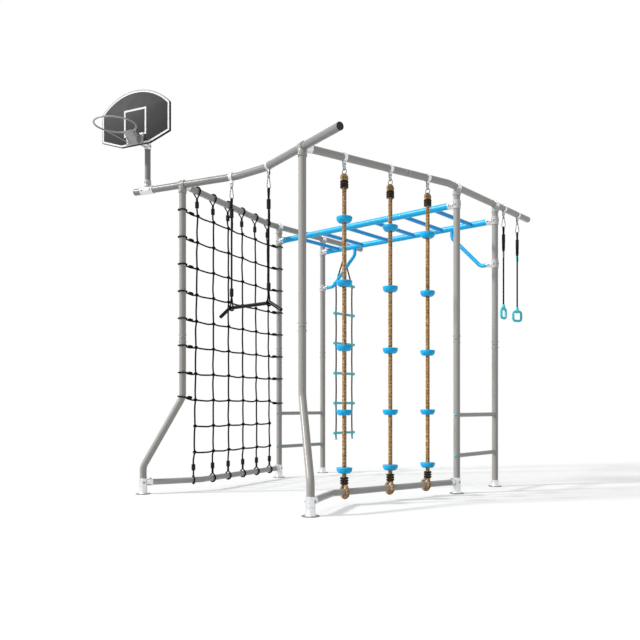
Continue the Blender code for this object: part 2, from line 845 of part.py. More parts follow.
def make_net():
    columns = column_places()
    heights = [NET_TOP_ROW - NET_ROW_PITCH * row for row in range(NET_ROWS)]
    net = make_object("climbing_net", net_lattice(columns, heights), at(PLAN["left_near"], 0), "black_cord")
    beam_side = splayed("left").cross(UP)
    helpers = []
    for index, (top, bottom) in enumerate(columns):
        bar_side = bar_way("left", "near" if index < NET_COLUMNS - 1 else "front").cross(UP)
        rounds = (
            (at(top, BEAM_HEIGHT), beam_side, MAIN_TUBE, TOP_APEX, "beam"),
            (at(bottom, BAR_HEIGHT), bar_side, BAR_TUBE, BOTTOM_APEX, "bar"),
        )
        for centre, side, radius, apex, label in rounds:
            points = teardrop(centre, side, radius + NET_LOOP_CORD + 0.001, apex, NET_LOOP_STEPS)
            mesh = bmesh.new()
            loop_mesh(mesh, points, side.cross(UP), NET_LOOP_CORD, 4)
            helpers.append(make_object(f"loop_{label}_{index}", mesh, centre))
    for row in range(NET_TIED_ROWS):
        for post in ("left_near", "left_front"):
            centre, way = on_post(post, tie_height(post, heights, row))
            across = way.cross(post_across(post))
            radius = clear_of(MAIN_TUBE + NET_LOOP_CORD + 0.001, NET_TIE_STEPS)
            points = circle(centre, across, way.cross(across), radius, NET_TIE_STEPS)
            mesh = bmesh.new()
            loop_mesh(mesh, points, way, NET_LOOP_CORD, 4)
            helpers.append(make_object(f"round_{post}_{row}", mesh, centre))
    fuse(net, *helpers)


# Climbing ropes with discs


def disc_profile(height):
    """A bowl-shaped step: a flat top, a rounded rim and sides drawn in to the rope."""
    top = height + DISC_THICKNESS / 2
    return (
        (ROPE_RADIUS, top),
        (DISC_RADIUS, top - 0.004),
        (DISC_RADIUS * 0.62, top - DISC_THICKNESS),
        (ROPE_RADIUS, top - DISC_THICKNESS),
    )


def rope_profile():
    profile = [
        (ROPE_RADIUS, ROPE_EYE_TOP),
        (WHIPPING_RADIUS - 0.001, ROPE_EYE_TOP - 0.012),
        (WHIPPING_RADIUS, WHIPPING_TOP[1]),
        (WHIPPING_RADIUS, WHIPPING_TOP[0]),
        (ROPE_RADIUS, WHIPPING_TOP[0] - 0.004),
    ]
    for height in DISC_HEIGHTS:
        profile.extend(disc_profile(height))
    profile.extend(
        (
            (ROPE_RADIUS, WHIPPING_BOTTOM[1] + 0.004),
            (WHIPPING_RADIUS, WHIPPING_BOTTOM[1]),
            (WHIPPING_RADIUS, WHIPPING_BOTTOM[0]),
            (ROPE_RADIUS, WHIPPING_BOTTOM[0] - 0.0065),
        )
    )
    return profile


def make_disc_ropes():
    near, bend = PLAN["right_near"], PLAN["right_bar"]
    bar_side = bar_way("right", "near").cross(UP)
    bar_run = (near - bend).normalized()
    for number in range(1, len(ROPE_PLACES) + 1):
        place, run, _ = SWINGS[f"rope_{number}"]
        rope = make_object(f"disc_rope_{number}", turned_mesh(place, rope_profile(), 8), at(place, ROPE_EYE_TOP), "hemp_rope")
        link_side = run.cross(UP)
        link_centre = at(place, HINGE_HEIGHT + LINK_TOP_RADIUS - 0.022)
        link = torus_helper(f"rope_{number}_link", link_centre, link_side, UP, 0.022, LINK_WIRE)
        on_bar = bend + bar_run * (place - bend).dot(bar_run)
        centre = at(on_bar, BAR_HEIGHT)
        points = teardrop(centre, bar_side, BAR_TUBE + ROPE_RADIUS + 0.0015, WHIPPING_BOTTOM[0] + 0.010, 6)
        points[0] = at(place, WHIPPING_BOTTOM[0] + 0.010)
        mesh = bmesh.new()
        loop_mesh(mesh, points, bar_run, ROPE_RADIUS - 0.0005, 6)
        loop = make_object(f"rope_{number}_loop", mesh, centre)
        fuse(rope, link, loop)


# Things that swing


def pivot(name, place):
    """An empty on the swing's hinge, which carries what swings."""
    empty = bpy.data.objects.new(f"pivot_{name}", None)
    empty.empty_display_size = 0.05
    empty.location = at(place, HINGE_HEIGHT)
    bpy.context.scene.collection.objects.link(empty)
    return empty


def hang_on(obj, empty):
    obj.parent = empty
    obj.location = obj.location - empty.location


def link_points(place, side, length):
    """A pear-shaped snap link: a small bow over the eye's wire and a wide one below."""
    top = at(place, HINGE_HEIGHT)
    low = at(place, HINGE_HEIGHT - length + LINK_BOTTOM_RADIUS)
    points = []
    for step in range(5):
        turn = math.pi * step / 4
        points.append(top + LINK_TOP_RADIUS * (math.cos(turn) * side + math.sin(turn) * UP))
    for step in range(6):
        turn = math.pi + math.pi * step / 5
        points.append(low + LINK_BOTTOM_RADIUS * (math.cos(turn) * side + math.sin(turn) * UP))
    return points


def link_helper(name, place, wire_way, length):
    side = wire_way.cross(UP)
    mesh = bmesh.new()
    loop_mesh(mesh, link_points(place, side, length), wire_way, LINK_WIRE, 5)
    return make_object(name, mesh, at(place, HINGE_HEIGHT))


def make_trapeze():
    centre = (SWINGS["trapeze_left"][0] + SWINGS["trapeze_right"][0]) / 2
    swing = pivot("trapeze", centre)
    corners = [
        at(centre - ALONG * TRAPEZE_END, TRAPEZE_HEIGHT - TRAPEZE_DROP),
        at(centre - ALONG * TRAPEZE_BEND, TRAPEZE_HEIGHT),
        at(centre + ALONG * TRAPEZE_BEND, TRAPEZE_HEIGHT),
        at(centre + ALONG * TRAPEZE_END, TRAPEZE_HEIGHT - TRAPEZE_DROP),
    ]
    route = rounded(corners, 0.03, 2)
    bar = tube("trapeze_bar", route, BACK, TRAPEZE_TUBE, "black_paint", sides=8)
    hang_on(bar, swing)
    round_bar = clear_of(TRAPEZE_TUBE + SWING_CORD + 0.001, 8)
    for side in SIDES:
        place = SWINGS[f"trapeze_{side}"][0]
        link_bottom = HINGE_HEIGHT - LINK_LENGTH
        profile = (
            (SWING_FERRULE - 0.001, link_bottom + 0.006),
            (SWING_FERRULE, 2.049),
            (SWING_FERRULE, 1.983),
            (SWING_CORD, 1.975),
            (SWING_CORD, 1.490),
            (SWING_FERRULE, 1.483),
            (SWING_FERRULE, 1.426),
            (SWING_CORD, TRAPEZE_HEIGHT + round_bar + 0.002),
        )
        rope = make_object(f"trapeze_rope_{side}", turned_mesh(place, profile, 6), at(place, HINGE_HEIGHT), "black_cord")
        link = link_helper(f"trapeze_{side}_link", place, ALONG, LINK_LENGTH)
        bow_centre = at(place, TRAPEZE_HEIGHT)
        bow = torus_helper(f"trapeze_{side}_bow", bow_centre, BACK, UP, round_bar, SWING_CORD)
        fuse(rope, link, bow)
        hang_on(rope, swing)


def grip_points(centre, along):
    """The rounded square of a hand grip, as corners rounded by arcs."""
    half = RING_GRIP_WIDTH / 2 - RING_GRIP_TUBE
    top = RING_GRIP_TOP - RING_GRIP_TUBE
    bottom = RING_GRIP_BOTTOM + RING_GRIP_TUBE
    radius = 0.022
    points = []
    corners = ((1, top, 0), (-1, top, 1), (-1, bottom, 2), (1, bottom, 3))
    for sign, height, quarter in corners:
        middle = at(centre, height - (radius if height == top else -radius)) + along * sign * (half - radius)
        for step in range(3):
            turn = math.pi / 2 * (quarter + step / 2)
            points.append(middle + radius * (math.cos(turn) * along + math.sin(turn) * UP))
    return points


def make_rings():
    for side in RING_PLACES:
        place = SWINGS[f"ring_{side}"][0]
        swing = pivot(f"ring_{side}", place)
        along = Matrix.Rotation(RING_TURNS[side], 3, "Z") @ BACK
        mesh = bmesh.new()
        loop_mesh(mesh, grip_points(place, along), along.cross(UP), RING_GRIP_TUBE, 6)
        grip = make_object(f"ring_grip_{side}", mesh, at(place, RING_GRIP_TOP), "turquoise")
        hub_profile = (
            (0.0075, RING_HUB_TOP),
            (0.0125, RING_HUB_TOP - 0.006),
            (0.0145, RING_GRIP_TOP - 0.009),
            (0.0125, RING_GRIP_TOP - 0.0245),
        )
        hub = make_object(f"ring_hub_{side}", turned_mesh(place, hub_profile, 6), at(place, RING_HUB_TOP))
        fuse(grip, hub)
        hang_on(grip, swing)
        link_bottom = HINGE_HEIGHT - LINK_LENGTH
        profile = (
            (0.0105, link_bottom + 0.006),
            (0.0105, RING_SPLICE_BOTTOM),
            (0.0085, RING_SPLICE_BOTTOM - 0.002),
            (0.0085, RING_ADJUSTER_BOTTOM),
            (RING_CORD, RING_ADJUSTER_BOTTOM - 0.003),
            (RING_CORD, RING_HUB_TOP + CLEARANCE),
        )
        cord = make_object(f"ring_cord_{side}", turned_mesh(place, profile, 6), at(place, HINGE_HEIGHT), "black_cord")
        link = link_helper(f"ring_{side}_link", place, BACK, LINK_LENGTH)
        fuse(cord, link)
        hang_on(cord, swing)


def make_rope_ladder():
    place = SWINGS["ladder"][0]
    swing = pivot("rope_ladder", place)
    end_side = BACK * LADDER_HALF
    cords = []
    for sign in (-1, 1):
        route = [
            at(place + sign * BACK * 0.004, LADDER_APEX),
            at(place + sign * end_side, LADDER_TOP_RUNG),
            at(place + sign * end_side, LADDER_END),
        ]
        cords.append(tube_mesh(route, ALONG, LADDER_CORD, sides=6))
    ladder = make_object("rope_ladder", cords[0], at(place, HINGE_HEIGHT), "turquoise")
    helpers = [make_object("ladder_cord", cords[1], at(place, LADDER_APEX))]
    helpers.append(torus_helper("ladder_link", at(place, HINGE_HEIGHT - 0.0165), ALONG, UP, 0.0237, LINK_WIRE))
    helpers.append(box_helper("ladder_knot", at(place, LADDER_APEX + 0.001), (ALONG, BACK, UP), (0.012, 0.022, 0.026)))
    for index in range(LADDER_RUNGS):
        centre = at(place, LADDER_TOP_RUNG - index * LADDER_PITCH)
        half = BACK * LADDER_RUNG_HALF
        helpers.append(rod_helper(f"ladder_rung_{index}", centre - half, centre + half, UP, LADDER_RUNG_RADIUS, 6))
    for sign in (-1, 1):
        profile = ((0.004, LADDER_END + 0.014), (0.0125, LADDER_END + 0.006), (0.0125, LADDER_END - 0.006), (0.004, LADDER_END - 0.012))
        centre = place + sign * end_side
        helpers.append(make_object(f"ladder_knob_{sign}", turned_mesh(centre, profile, 5), at(centre, LADDER_END)))
    fuse(ladder, *helpers)
    hang_on(ladder, swing)


# Basketball hoop


def board_point(along, out, height):
    """A point given along the board, out of its face and up, from the pole's axis."""
    pole = PLAN["left_front"] + front_end("left") * POLE_PLACE
    run = -front_end("left")
    face = run.cross(UP)
    return at(pole + run * along + face * out, height)


def board_outline():
    """Half widths and heights of the board's edge: cut lower corners and an arched top."""
    rise = BOARD_TOP - BOARD_SIDE_TOP
    radius = (BOARD_HALF**2 + rise**2) / (2 * rise)
    sweep = math.asin(BOARD_HALF / radius)
    outline = [
        (-BOARD_FOOT_HALF, BOARD_BOTTOM),
        (BOARD_FOOT_HALF, BOARD_BOTTOM),
        (BOARD_HALF, BOARD_SIDE_BOTTOM),
    ]
    steps = 8
    for step in range(steps + 1):
        turn = sweep * (1 - 2 * step / steps)
        outline.append((radius * math.sin(turn), BOARD_TOP - radius + radius * math.cos(turn)))
    outline.append((-BOARD_HALF, BOARD_SIDE_BOTTOM))
    return outline


def make_board():
    """A moulded tray: a front skin with a rim turned back round its edge."""
    mesh = bmesh.new()
    corners = [mesh.verts.new(board_point(along, BOARD_FACE, height)) for along, height in board_outline()]
    face = mesh.faces.new(corners)
    back_way = board_point(0, 0, 0) - board_point(0, 1, 0)
    extruded = bmesh.ops.extrude_face_region(mesh, geom=[face])
    moved = [item for item in extruded["geom"] if isinstance(item, bmesh.types.BMVert)]
    back_face = next(item for item in extruded["geom"] if isinstance(item, bmesh.types.BMFace))
    bmesh.ops.translate(mesh, verts=moved, vec=back_way * BOARD_DEPTH)
    mesh.faces.ensure_lookup_table()
    bmesh.ops.recalc_face_normals(mesh, faces=mesh.faces)
    bmesh.ops.inset_region(mesh, faces=[back_face], thickness=BOARD_SKIN, use_even_offset=True)
    recess = bmesh.ops.extrude_face_region(mesh, geom=[back_face])
    moved = [item for item in recess["geom"] if isinstance(item, bmesh.types.BMVert)]
    bmesh.ops.translate(mesh, verts=moved, vec=-back_way * (BOARD_DEPTH - BOARD_SKIN))
    bmesh.ops.delete(mesh, geom=[back_face], context="FACES_ONLY")
    make_object("backboard", mesh, board_point(0, BOARD_FACE, BOARD_BOTTOM), "board_grey")


def make_pole():
    """The pole with the clamp that holds it on the beam and the arm that carries the board."""
    run = -front_end("left")
    foot = board_point(0, 0, BEAM_HEIGHT)
    pole = tube("hoop_pole", [board_point(0, 0, BEAM_HEIGHT + 0.012), board_point(0, 0, POLE_TOP)], run, POLE_TUBE, "powder_grey")
    half = run * POLE_CLAMP_HALF
    saddle = rod_helper("pole_saddle", foot - half, foot + half, UP, sleeve_radius())
    collar = rod_helper("pole_collar", foot + UP * 0.015, board_point(0, 0, 2.351), run, POLE_TUBE + 0.0045)
    elbow = rod_helper("pole_elbow", board_point(0, 0, 2.580), board_point(0, 0, POLE_TOP - 0.002), run, POLE_TUBE + 0.0045)
    arm_end = BOARD_FACE - BOARD_SKIN - CLEARANCE
    arm = rod_helper("pole_arm", board_point(0, 0.004, ARM_HEIGHT), board_point(0, arm_end, ARM_HEIGHT), UP, 0.018, 8)
    pad_start, pad_end = board_point(0, arm_end - 0.006, ARM_HEIGHT), board_point(0, arm_end - 0.0005, ARM_HEIGHT)
    pad = box_helper("pole_pad", (pad_start + pad_end) / 2, (run, UP, run.cross(UP)), (0.110, 0.050, 0.0055))
    fuse(pole, saddle, collar, elbow, arm, pad)
    cut(pole, rod_helper("pole_beam_bore", foot - 2 * half, foot + 2 * half, UP, MAIN_TUBE + CLEARANCE))


def bracket_section(mesh, depth, height):
    """The folded bracket's section at one height: flanges on the board and a raised middle."""
    inner = BRACKET_HALF - SHEET
    profile = (
        (-BRACKET_FLANGE, 0), (-inner, 0), (-inner, depth - SHEET), (inner, depth - SHEET), (inner, 0),
        (BRACKET_FLANGE, 0), (BRACKET_FLANGE, SHEET), (BRACKET_HALF, SHEET), (BRACKET_HALF, depth),
        (-BRACKET_HALF, depth), (-BRACKET_HALF, SHEET), (-BRACKET_FLANGE, SHEET),
    )
    face = BOARD_FACE + CLEARANCE
    return [mesh.verts.new(board_point(along, face + out, height)) for along, out in profile]


def make_hoop():
    """The ring with its folded bracket, top plate and two stays."""
    mesh = bmesh.new()
    low = bracket_section(mesh, BRACKET_DEPTHS[0], BRACKET_HEIGHTS[0])
    high = bracket_section(mesh, BRACKET_DEPTHS[1], BRACKET_HEIGHTS[1])
    bridge(mesh, low, high)
    mesh.faces.new(low)
    mesh.faces.new(high)
    hoop = make_object("hoop", mesh, board_point(0, BOARD_FACE, HOOP_HEIGHT), "steel_grey")
    centre = board_point(0, HOOP_REACH, HOOP_HEIGHT)
    run = -front_end("left")
    out = run.cross(UP)
    helpers = [torus_helper("hoop_ring", centre, run, out, HOOP_RADIUS, HOOP_WIRE, steps=18)]
    plate_near, plate_far = BOARD_FACE + 0.0045, HOOP_REACH - HOOP_RADIUS + HOOP_WIRE / 2
    plate_centre = board_point(0, (plate_near + plate_far) / 2, HOOP_HEIGHT + 0.001)
    plate_sizes = (2 * BRACKET_HALF - 0.001, plate_far - plate_near, SHEET)
    helpers.append(box_helper("hoop_plate", plate_centre, (run, out, UP), plate_sizes))
    for sign in (-1, 1):
        turn = math.radians(20)
        on_ring = centre + HOOP_RADIUS * (sign * math.cos(turn) * run - math.sin(turn) * out) - UP * 0.002
        on_bracket = board_point(sign * (BRACKET_HALF - 0.002), BOARD_FACE + 0.016, BRACKET_HEIGHTS[0] + 0.006)
        helpers.append(rod_helper(f"hoop_stay_{sign}", on_bracket, on_ring, UP, 0.003, 5))
    fuse(hoop, *helpers)


# The whole frame


def solid_bounds():
    """Lowest and highest corner of every solid as it is evaluated."""
    bpy.context.view_layer.update()
    graph = bpy.context.evaluated_depsgraph_get()
    corners = []
    for obj in bpy.context.scene.objects:
        if obj.type == "MESH" and not obj.hide_render:
            evaluated = obj.evaluated_get(graph)
            corners.extend(evaluated.matrix_world @ vertex.co for vertex in evaluated.data.vertices)
    low = Vector([min(corner[axis] for corner in corners) for axis in range(3)])
    high = Vector([max(corner[axis] for corner in corners) for axis in range(3)])
    return low, high


def centre_over_origin():
    low, high = solid_bounds()
    shift = Vector((-(low.x + high.x) / 2, -(low.y + high.y) / 2, -low.z))
    for obj in bpy.context.scene.objects:
        if obj.parent is None:
            obj.location += shift
    bpy.context.view_layer.update()
    print("shift of the layout:", [round(value, 6) for value in shift])
    print("size:", [round(value, 4) for value in high - low])
    for obj in bpy.context.scene.objects:
        if obj.type == "EMPTY":
            print("hinge", obj.name, [round(value, 6) for value in obj.matrix_world.translation])


def build():
    clear_scene()
    make_posts()
    make_beams()
    make_bottom_bars()
    make_rails()
    make_rungs()
    make_steps()
    make_braces()
    make_tees()
    make_clamps()
    make_feet()
    make_net()
    make_disc_ropes()
    make_trapeze()
    make_rings()
    make_rope_ladder()
    make_board()
    make_pole()
    make_hoop()
    centre_over_origin()


build()
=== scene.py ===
# Climbing frame with monkey bars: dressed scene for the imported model.
import math

import bmesh
import bpy
from mathutils import Matrix, Vector


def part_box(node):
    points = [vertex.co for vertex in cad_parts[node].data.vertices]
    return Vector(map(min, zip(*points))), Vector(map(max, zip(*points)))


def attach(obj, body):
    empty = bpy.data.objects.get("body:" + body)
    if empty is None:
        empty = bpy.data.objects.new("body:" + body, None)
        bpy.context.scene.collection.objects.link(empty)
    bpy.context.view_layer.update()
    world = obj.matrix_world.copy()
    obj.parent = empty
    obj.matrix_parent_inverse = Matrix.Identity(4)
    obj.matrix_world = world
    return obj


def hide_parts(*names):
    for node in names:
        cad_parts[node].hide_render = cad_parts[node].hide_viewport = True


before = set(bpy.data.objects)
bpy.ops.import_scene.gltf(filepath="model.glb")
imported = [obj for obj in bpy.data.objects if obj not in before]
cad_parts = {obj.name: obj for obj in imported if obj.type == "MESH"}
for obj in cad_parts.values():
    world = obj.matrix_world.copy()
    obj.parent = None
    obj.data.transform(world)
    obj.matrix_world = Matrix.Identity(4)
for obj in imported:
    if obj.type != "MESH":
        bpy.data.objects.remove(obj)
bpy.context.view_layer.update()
print("packed model loaded")

up, along, back = Vector((0, 0, 1)), Vector((1, 0, 0)), Vector((0, 1, 0))
origin = Vector()
sides = {"left": -1, "right": 1}
bothWays = (-1, 1)

plan = {
    "frontWidth": 1.20,
    "splay": math.radians(15),
    "bendBeforePost": 0.12,
    "frontFlat": 0.28,
    "crankOut": 0.232,
    "crankForward": 0.179,
    "crankTop": 0.713,
    "crankBottom": 0.2025,
    "postFoot": 0.0124,
    "postTop": 2.240,
    "bend": 0.11,
    "beamHeight": 2.275,
    "railHeight": 2.145,
    "braceHeight": 1.795,
    "barHeight": 0.0863,
    "barBendIn": 0.168,
    "barBendBack": 0.396,
    "hingeHeight": 2.193,
    "tube": 0.025,
    "barTube": 0.022,
    "smallTube": 0.016,
    "inSocket": 0.034,
}


# Where things stand


def axisOf(node):
    low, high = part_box(node)
    return Vector(((low.x + high.x) / 2, (low.y + high.y) / 2, 0))


def at(point, height):
    return Vector((point.x, point.y, height))


spot = {name: axisOf("post_" + name) for name in ("left_near", "left_far", "right_near", "right_far")}
middleX = (spot["left_near"].x + spot["right_near"].x) / 2
halfBay = spot["right_near"].x - middleX
halfFront, halfFlat = plan["frontWidth"] / 2, plan["frontFlat"] / 2
slope = math.tan(plan["splay"])
frontY = spot["left_near"].y - plan["bendBeforePost"] - (halfBay - halfFront) / slope
splayed, frontRun = {}, {}
for side, sign in sides.items():
    splayed[side] = Vector((sign * math.sin(plan["splay"]), math.cos(plan["splay"]), 0))
    frontRun[side] = Vector((sign * math.cos(plan["splay"]), -math.sin(plan["splay"]), 0))
    spot[side + "_front"] = Vector((middleX + sign * halfFront, frontY, 0))
    spot[side + "_foot"] = spot[side + "_front"] + Vector((sign * plan["crankOut"], -plan["crankForward"], 0))
    spot[side + "_flat"] = Vector((middleX + sign * halfFlat, frontY + (halfFront - halfFlat) * slope, 0))
    spot[side + "_bar"] = spot[side + "_foot"] + Vector((-sign * plan["barBendIn"], plan["barBendBack"], 0))
postNames = [f"{side}_{place}" for side in sides for place in ("near", "far", "front")]


def arc(centre, radius, first, second, start, sweep, steps):
    # points on a circle, turning from first towards second
    turns = [start + sweep * step / steps for step in range(steps + 1)]
    return [centre + radius * (math.cos(turn) * first + math.sin(turn) * second) for turn in turns]


def bendAt(before, corner, after, radius):
    into, out = (corner - before).normalized(), (after - corner).normalized()
    turn = into.angle(out)
    inwards = (out - into * out.dot(into)).normalized()
    cut = radius * math.tan(turn / 2)
    return into, out, turn, inwards, cut


def rounded(route, radius, steps):
    points = [route[0]]
    for before, corner, after in zip(route, route[1:], route[2:]):
        into, _, turn, inwards, cut = bendAt(before, corner, after, radius)
        points += arc(corner - into * cut + inwards * radius, radius, -inwards, into, 0, turn, steps)
    return points + [route[-1]]


def postCorners(name):
    head, foot, cranks = spot[name], spot[name], []
    if name.endswith("front"):
        foot = spot[name.replace("front", "foot")]
        cranks = [at(foot, plan["crankBottom"]), at(head, plan["crankTop"])]
    return [at(foot, plan["postFoot"]), *cranks, at(head, plan["postTop"])]


def onPost(name, height):
    route = rounded(postCorners(name), plan["bend"], 2)
    low, high = next(pair for pair in zip(route, route[1:]) if pair[1].z >= height)
    return low.lerp(high, (height - low.z) / (high.z - low.z)), (high - low).normalized()


# Modelling by operators


def mm(*pairs):
    # profile points written in millimetres
    return [(first / 1000, second / 1000) for first, second in pairs]


def clearSelection():
    if bpy.context.mode != "OBJECT":
        bpy.ops.object.mode_set(mode="OBJECT")
    bpy.ops.object.select_all(action="DESELECT")


def choose(piece):
    clearSelection()
    piece.select_set(True)
    bpy.context.view_layer.objects.active = piece
    return piece


def edit(piece, kind="FACE"):
    choose(piece)
    bpy.ops.object.mode_set(mode="EDIT")
    bpy.ops.mesh.select_mode(type=kind)
    bpy.ops.mesh.select_all(action="DESELECT")


def pick(piece, test):
    mesh = bmesh.from_edit_mesh(piece.data)
    for vertex in mesh.verts:
        vertex.select_set(bool(test(vertex)))
    bmesh.update_edit_mesh(piece.data)


def coat(piece, paint):
    piece.data.materials.clear()
    piece.data.materials.append(paint)
    return piece


def endEdit(piece, paint, angle=40, merge=0.0):
    bpy.ops.mesh.select_all(action="SELECT")
    if merge:
        bpy.ops.mesh.remove_doubles(threshold=merge)
    bpy.ops.mesh.normals_make_consistent(inside=False)
    bpy.ops.object.mode_set(mode="OBJECT")
    choose(piece)
    bpy.ops.object.shade_smooth_by_angle(angle=math.radians(angle))
    return coat(piece, paint)


def facing(way):
    return way.to_track_quat("Z", "Y")


def justAdded(name):
    # the primitive just added, with its place and turn moved into its mesh
    piece = bpy.context.object
    piece.name = piece.data.name = name
    bpy.ops.object.transform_apply(location=True, rotation=True, scale=True)
    return piece


def startDisc(name, centre, way, radius, count, fill="NGON"):
    clearSelection()
    bpy.ops.mesh.primitive_circle_add(
        vertices=count, radius=radius, fill_type=fill, location=centre, rotation=facing(way).to_euler()
    )
    piece = justAdded(name)
    bpy.ops.object.mode_set(mode="EDIT")
    bpy.ops.mesh.select_mode(type="FACE" if fill == "NGON" else "EDGE")
    bpy.ops.mesh.select_all(action="SELECT")
    return piece


def pushOut(move):
    bpy.ops.mesh.extrude_region_move(TRANSFORM_OT_translate={"value": move})


def pipe(name, paint, corners, radius, bend=plan["bend"], count=32, steps=8):
    # a round bar through the corners, with a swept bend at each
    piece = startDisc(name, corners[0], corners[1] - corners[0], radius, count)
    reached = corners[0]
    for before, corner, after in zip(corners, corners[1:], corners[2:]):
        into, out, turn, inwards, cut = bendAt(before, corner, after, bend)
        start = corner - into * cut
        pushOut(start - reached)
        # spin turns against its axis, so the axis is given the other way round
        axis = out.cross(into).normalized()
        bpy.ops.mesh.spin(steps=steps, angle=turn, center=start + inwards * bend, axis=axis)
        reached = corner + out * cut
    pushOut(corners[-1] - reached)
    return endEdit(piece, paint, merge=0.00001)


def turned(name, paint, centre, way, profile, count=32, closed=False, angle=40):
    # profile: (radius, distance along way); closed joins the last ring to the first
    way = way.normalized()
    (radius, reach), rest = profile[0], list(profile[1:])
    piece = startDisc(name, centre + way * reach, way, radius, count, "NOTHING" if closed else "NGON")
    for nextRadius, nextReach in rest + ([profile[0]] if closed else []):
        pushOut(way * (nextReach - reach))
        middle = centre + way * nextReach
        bpy.ops.transform.resize(value=(nextRadius / radius,) * 3, center_override=middle)
        radius, reach = nextRadius, nextReach
    return endEdit(piece, paint, angle, merge=0.00001 if closed else 0.0)


def sleeve(name, paint, centre, way, inner, outer, half, lip):
    lower = [(inner, -half), (outer - lip, -half), (outer, lip - half)]
    profile = lower + [(radius, -reach) for radius, reach in reversed(lower)]
    return turned(name, paint, centre, way, profile, closed=True)


def block(name, paint, centre, axes, sizes, bevel=0.0008):
    clearSelection()
    turn = Matrix([axis.normalized() for axis in axes]).transposed()
    bpy.ops.mesh.primitive_cube_add(size=1, location=centre, rotation=turn.to_euler(), scale=sizes)
    piece = justAdded(name)
    bpy.ops.object.mode_set(mode="EDIT")
    bpy.ops.mesh.bevel(offset=bevel, segments=2, affect="EDGES")
    return endEdit(piece, paint)


def torusWire(name, paint, centre, normal, radius, wire, count, section):
    clearSelection()
    bpy.ops.mesh.primitive_torus_add(
        major_radius=radius, minor_radius=wire, major_segments=count, minor_segments=section,
        location=centre, rotation=facing(normal).to_euler(),
    )
    piece = justAdded(name)
    edit(piece)
    return endEdit(piece, paint, 60)


def fromCurve(name, lines, closed, settings, matrix=Matrix()):
    # lines drawn as a curve and made a mesh, which takes over the curve's own UV map
    data = bpy.data.curves.new(name, "CURVE")
    for key, value in settings.items():
        setattr(data, key, value)
    for line in lines:
        spline = data.splines.new("POLY")
        spline.points.add(len(line) - 1)
        for item, point in zip(spline.points, line):
            item.co = (*point, 1)
        spline.use_cyclic_u = closed
    piece = bpy.data.objects.new(name, data)
    bpy.context.scene.collection.objects.link(piece)
    choose(piece)
    bpy.ops.object.convert(target="MESH")
    piece = bpy.context.object
    piece.data.transform(matrix)
    edit(piece)
    return piece


def strand(name, paint, points, radius, closed=False, detail=3):
    # a cord or wire through points
    settings = {"dimensions": "3D", "bevel_depth": radius, "bevel_resolution": detail}
    settings["use_fill_caps"] = not closed
    return endEdit(fromCurve(name, [points], closed, settings), paint, 50)


def flatShape(name, paint, outlines, thickness, matrix, bevel=0.0):
    # a flat plate with the given outer and inner outlines, laid in the matrix's own XY
    settings = {
        "dimensions": "2D", "fill_mode": "BOTH", "extrude": thickness / 2 - bevel,
        "bevel_depth": bevel, "bevel_resolution": 1, "offset": -bevel,
    }
    lines = [[(x, y, 0) for x, y in outline] for outline in outlines]
    return endEdit(fromCurve(name, lines, True, settings, matrix), paint, 35, merge=0.00001)


def copyOf(piece, name, matrix):
    twin = piece.copy()
    twin.data = piece.data.copy()
    twin.name = twin.data.name = name
    twin.data.transform(matrix)
    bpy.context.scene.collection.objects.link(twin)
    return twin


def copyAt(piece, name, *places):
    return [copyOf(piece, name, Matrix.Translation(place)) for place in places]


def seat(point, way):
    return Matrix.Translation(point) @ facing(way).to_matrix().to_4x4()


def axesAt(point, *axes):
    return Matrix.Translation(point) @ Matrix(axes).transposed().to_4x4()


def discard(*pieces):
    for piece in pieces:
        bpy.data.objects.remove(piece, do_unlink=True)


def joined(name, pieces):
    clearSelection()
    for piece in pieces:
        piece.select_set(True)
    bpy.context.view_layer.objects.active = pieces[0]
    if len(pieces) > 1:
        bpy.ops.object.join()
    pieces[0].name = pieces[0].data.name = name
    return pieces[0]


def mount(piece, body, slot, node):
    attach(piece, body)
    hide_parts(node)
    return piece


def fitted(name, parts, body, slot, node):
    return mount(joined(name, parts), body, slot, node)


# Materials


class Field:
    def __init__(self, graph, socket):
        self.graph, self.socket = graph, socket

    def __add__(self, other):
        return self.graph.maths("ADD", self, other)

    def __sub__(self, other):
        return self.graph.maths("SUBTRACT", self, other)

    def __mul__(self, other):
        return self.graph.maths("MULTIPLY", self, other)

    __radd__ = __add__


